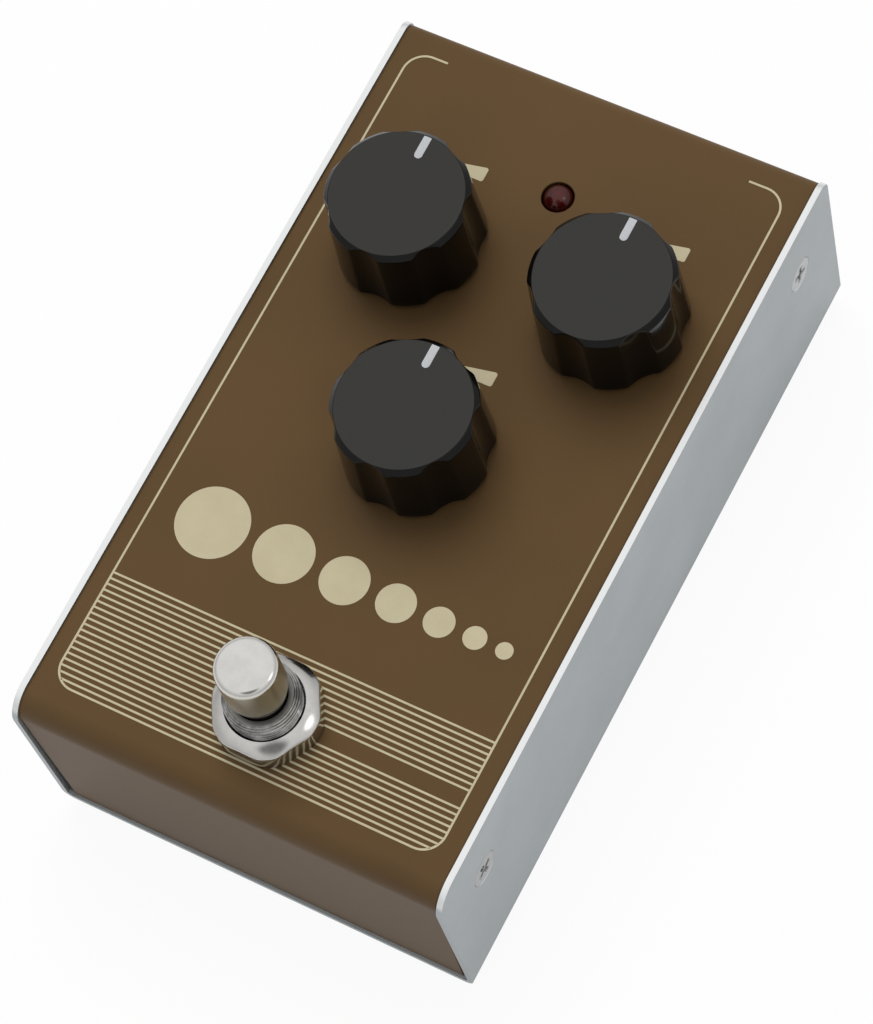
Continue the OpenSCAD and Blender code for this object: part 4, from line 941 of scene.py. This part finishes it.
# %% [markdown]
# ## The panel's seams
#
# Between the panel's long edges and the side plates there is a hairline of 0.2 mm. On a painted
# and baked cover the paint closes it, so a bead of paint runs along each edge, a touch below the
# panel's face. Its path follows the panel and both folds.

# %% Paint beads along the seams
SEAM_IN, SEAM_OUT, SEAM_DROP, SEAM_H = 35.97, 36.19, 0.08, 0.3
FRONT_Y, REAR_Y, PANEL_Z = -65.65, 63.65, 40.5
FRONT_FOLD, REAR_FOLD = 4, 2


def seam_path(drop):
    """The cover's outline seen from the side, that far inside its skin."""
    path = []
    front, rear = (FRONT_Y + FRONT_FOLD, FRONT_FOLD, 180), (REAR_Y - REAR_FOLD, REAR_FOLD, 90)
    for y, fold, first in (front, rear):
        radius = fold - drop
        for turn in [math.radians(first - 90 * k / 8) for k in range(9)]:
            path.append((y + radius * math.cos(turn), PANEL_Z - fold + radius * math.sin(turn)))
    return path


skin, core = seam_path(SEAM_DROP), seam_path(SEAM_DROP + SEAM_H)
points, faces = [], []
for side in (-1, 1):
    base, count = len(points), len(skin)
    for x, path in ((SEAM_IN, skin), (SEAM_OUT, skin), (SEAM_OUT, core), (SEAM_IN, core)):
        points += [(side * x, y, z) for y, z in path]
    for i in range(count - 1):
        for k in range(4):
            a, b = base + k * count + i, base + (k + 1) % 4 * count + i
            faces.append([a, a + 1, b + 1, b])
    faces += [[base + k * count + i for k in range(4)] for i in (0, count - 1)]
mesh = finish_mesh("panel_seams", points, faces, [brown_paint])
place("panel_seams", mesh, "enclosure")

# %% [markdown]
# ## The panel's print
#
# The print is a layer of cream ink: a rounded frame line that is open at the rear, a field of
# fine stripes round the switch, a plain wedge behind each knob that swells the way the control
# does, and a row of discs that shrink like fading repeats. It could be a mask in the paint's
# shader, but a thin layer of real ink keeps its crisp edges in any other program too.

# %% Helpers for the print
INK_LOW, INK_HIGH = 40.495, 40.53
FRAME_X, FRAME_HIGH, FRAME_LOW, FRAME_R = 33.15, 58.95, -59.15, 3.6
PRINT_SHIFT = -0.2
ink_points, ink_faces = [], []


def ink(outline):
    """Adds one closed shape of ink, its outline given counter-clockwise."""
    base, count = len(ink_points), len(outline)
    for z in (INK_LOW, INK_HIGH):
        ink_points.extend((x + PRINT_SHIFT, y, z) for x, y in outline)
    ink_faces.append([base + i for i in reversed(range(count))])
    ink_faces.append([base + count + i for i in range(count)])
    for i in range(count):
        j = (i + 1) % count
        ink_faces.append([base + i, base + j, base + count + j, base + count + i])


def arc(x, y, r, first, last, steps=10):
    """Points along an arc, angles in degrees."""
    turns = [math.radians(first + (last - first) * k / steps) for k in range(steps + 1)]
    return [(x + r * math.cos(a), y + r * math.sin(a)) for a in turns]


def ink_line(path, width):
    """Adds a line of ink along a path, as one strip with closed ends."""
    base, count = len(ink_points), len(path)
    for i, spot in enumerate(path):
        ahead = Vector(path[min(i + 1, count - 1)]) - Vector(path[max(i - 1, 0)])
        across = Vector((-ahead.y, ahead.x)).normalized() * width / 2
        for side, z in ((-1, INK_LOW), (1, INK_LOW), (1, INK_HIGH), (-1, INK_HIGH)):
            x, y = Vector(spot) + side * across
            ink_points.append((x + PRINT_SHIFT, y, z))
    last = base + 4 * (count - 1)
    for i in range(base, last, 4):
        for k in range(4):
            j = (k + 1) % 4
            ink_faces.append([i + k, i + j, i + 4 + j, i + 4 + k])
    ink_faces.extend([end + k for k in range(4)] for end in (base, last))


print("ink ready")

# %% Frame line and stripes
STUB_LEFT, STUB_RIGHT = -26.9, 26.4
LINE_W, STRIPE_W, STRIPE_PITCH, STRIPE_TOP, STRIPES = 0.35, 0.34, 1.026, -39.7, 19
BARE = (-48.5, -50.3)
NUT_HIDES = 7.2
in_x, low_y, high_y = FRAME_X - FRAME_R, FRAME_LOW + FRAME_R, FRAME_HIGH - FRAME_R

turns = [(-in_x, high_y, 90), (-in_x, low_y, 180), (in_x, low_y, 270), (in_x, high_y, 360)]
frame_path = [(STUB_LEFT, FRAME_HIGH)]
for x, y, first in turns:
    frame_path += arc(x, y, FRAME_R, first, first + 90)
ink_line([*frame_path, (STUB_RIGHT, FRAME_HIGH)], LINE_W)

for k in range(STRIPES):
    y = STRIPE_TOP - STRIPE_PITCH * k
    sunk = max(low_y - y, 0)
    end = in_x + math.sqrt(FRAME_R**2 - sunk**2) - LINE_W / 2
    gap = math.sqrt(max(NUT_HIDES**2 - (y - SWITCH[1]) ** 2, 0))
    runs = [(-end, -gap), (gap, end)] if gap else [(-end, end)]
    if BARE[1] < y < BARE[0]:
        runs = runs[:1]
    for first, last in runs:
        half = STRIPE_W / 2
        ink([(first, y - half), (last, y - half), (last, y + half), (first, y + half)])
print(f"frame line and {STRIPES} stripes")

# %% Wedges and discs
WEDGE_L, WEDGE_H, WEDGE_OUT, THIN_R, THICK_R = 11.0, 2.5, 14.6, 0.2, 0.4
for x, y in KNOBS.values():
    base, middle = y + WEDGE_OUT - WEDGE_H / 2, x - PRINT_SHIFT
    left, right = middle - WEDGE_L / 2 + THIN_R, middle + WEDGE_L / 2 - THICK_R
    thin = arc(left, base + THIN_R, THIN_R, 105, 270, 6)
    low = arc(right, base + THICK_R, THICK_R, 270, 360, 6)
    high = arc(right, base + WEDGE_H - THICK_R, THICK_R, 0, 105, 6)
    ink([*thin, *low, *high])

DISC_R = (6.0, 4.9, 4.0, 3.2, 2.5, 1.9, 1.4)
DISC_GAP, DISC_Y = 1.7, -26.2
x = -(sum(DISC_R) * 2 + DISC_GAP * (len(DISC_R) - 1)) / 2
for r in DISC_R:
    ink(arc(x + r, DISC_Y, r, 0, 360 * 71 / 72, 71))
    x += 2 * r + DISC_GAP

mesh = finish_mesh("panel_print", ink_points, ink_faces, [cream_ink])
place("panel_print", mesh, "enclosure")

# %% [markdown]
# ## Size
#
# The dressed pedal's box is compared with the imported one, to show how far dressing changed its
# size.

# %% Compare the boxes and finish
dressed_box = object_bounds()
grown = zip(dressed_box[1] - dressed_box[0], cad_box[1] - cad_box[0])
print("box grew by", [round((a - b) / MM, 3) for a, b in grown], "mm")
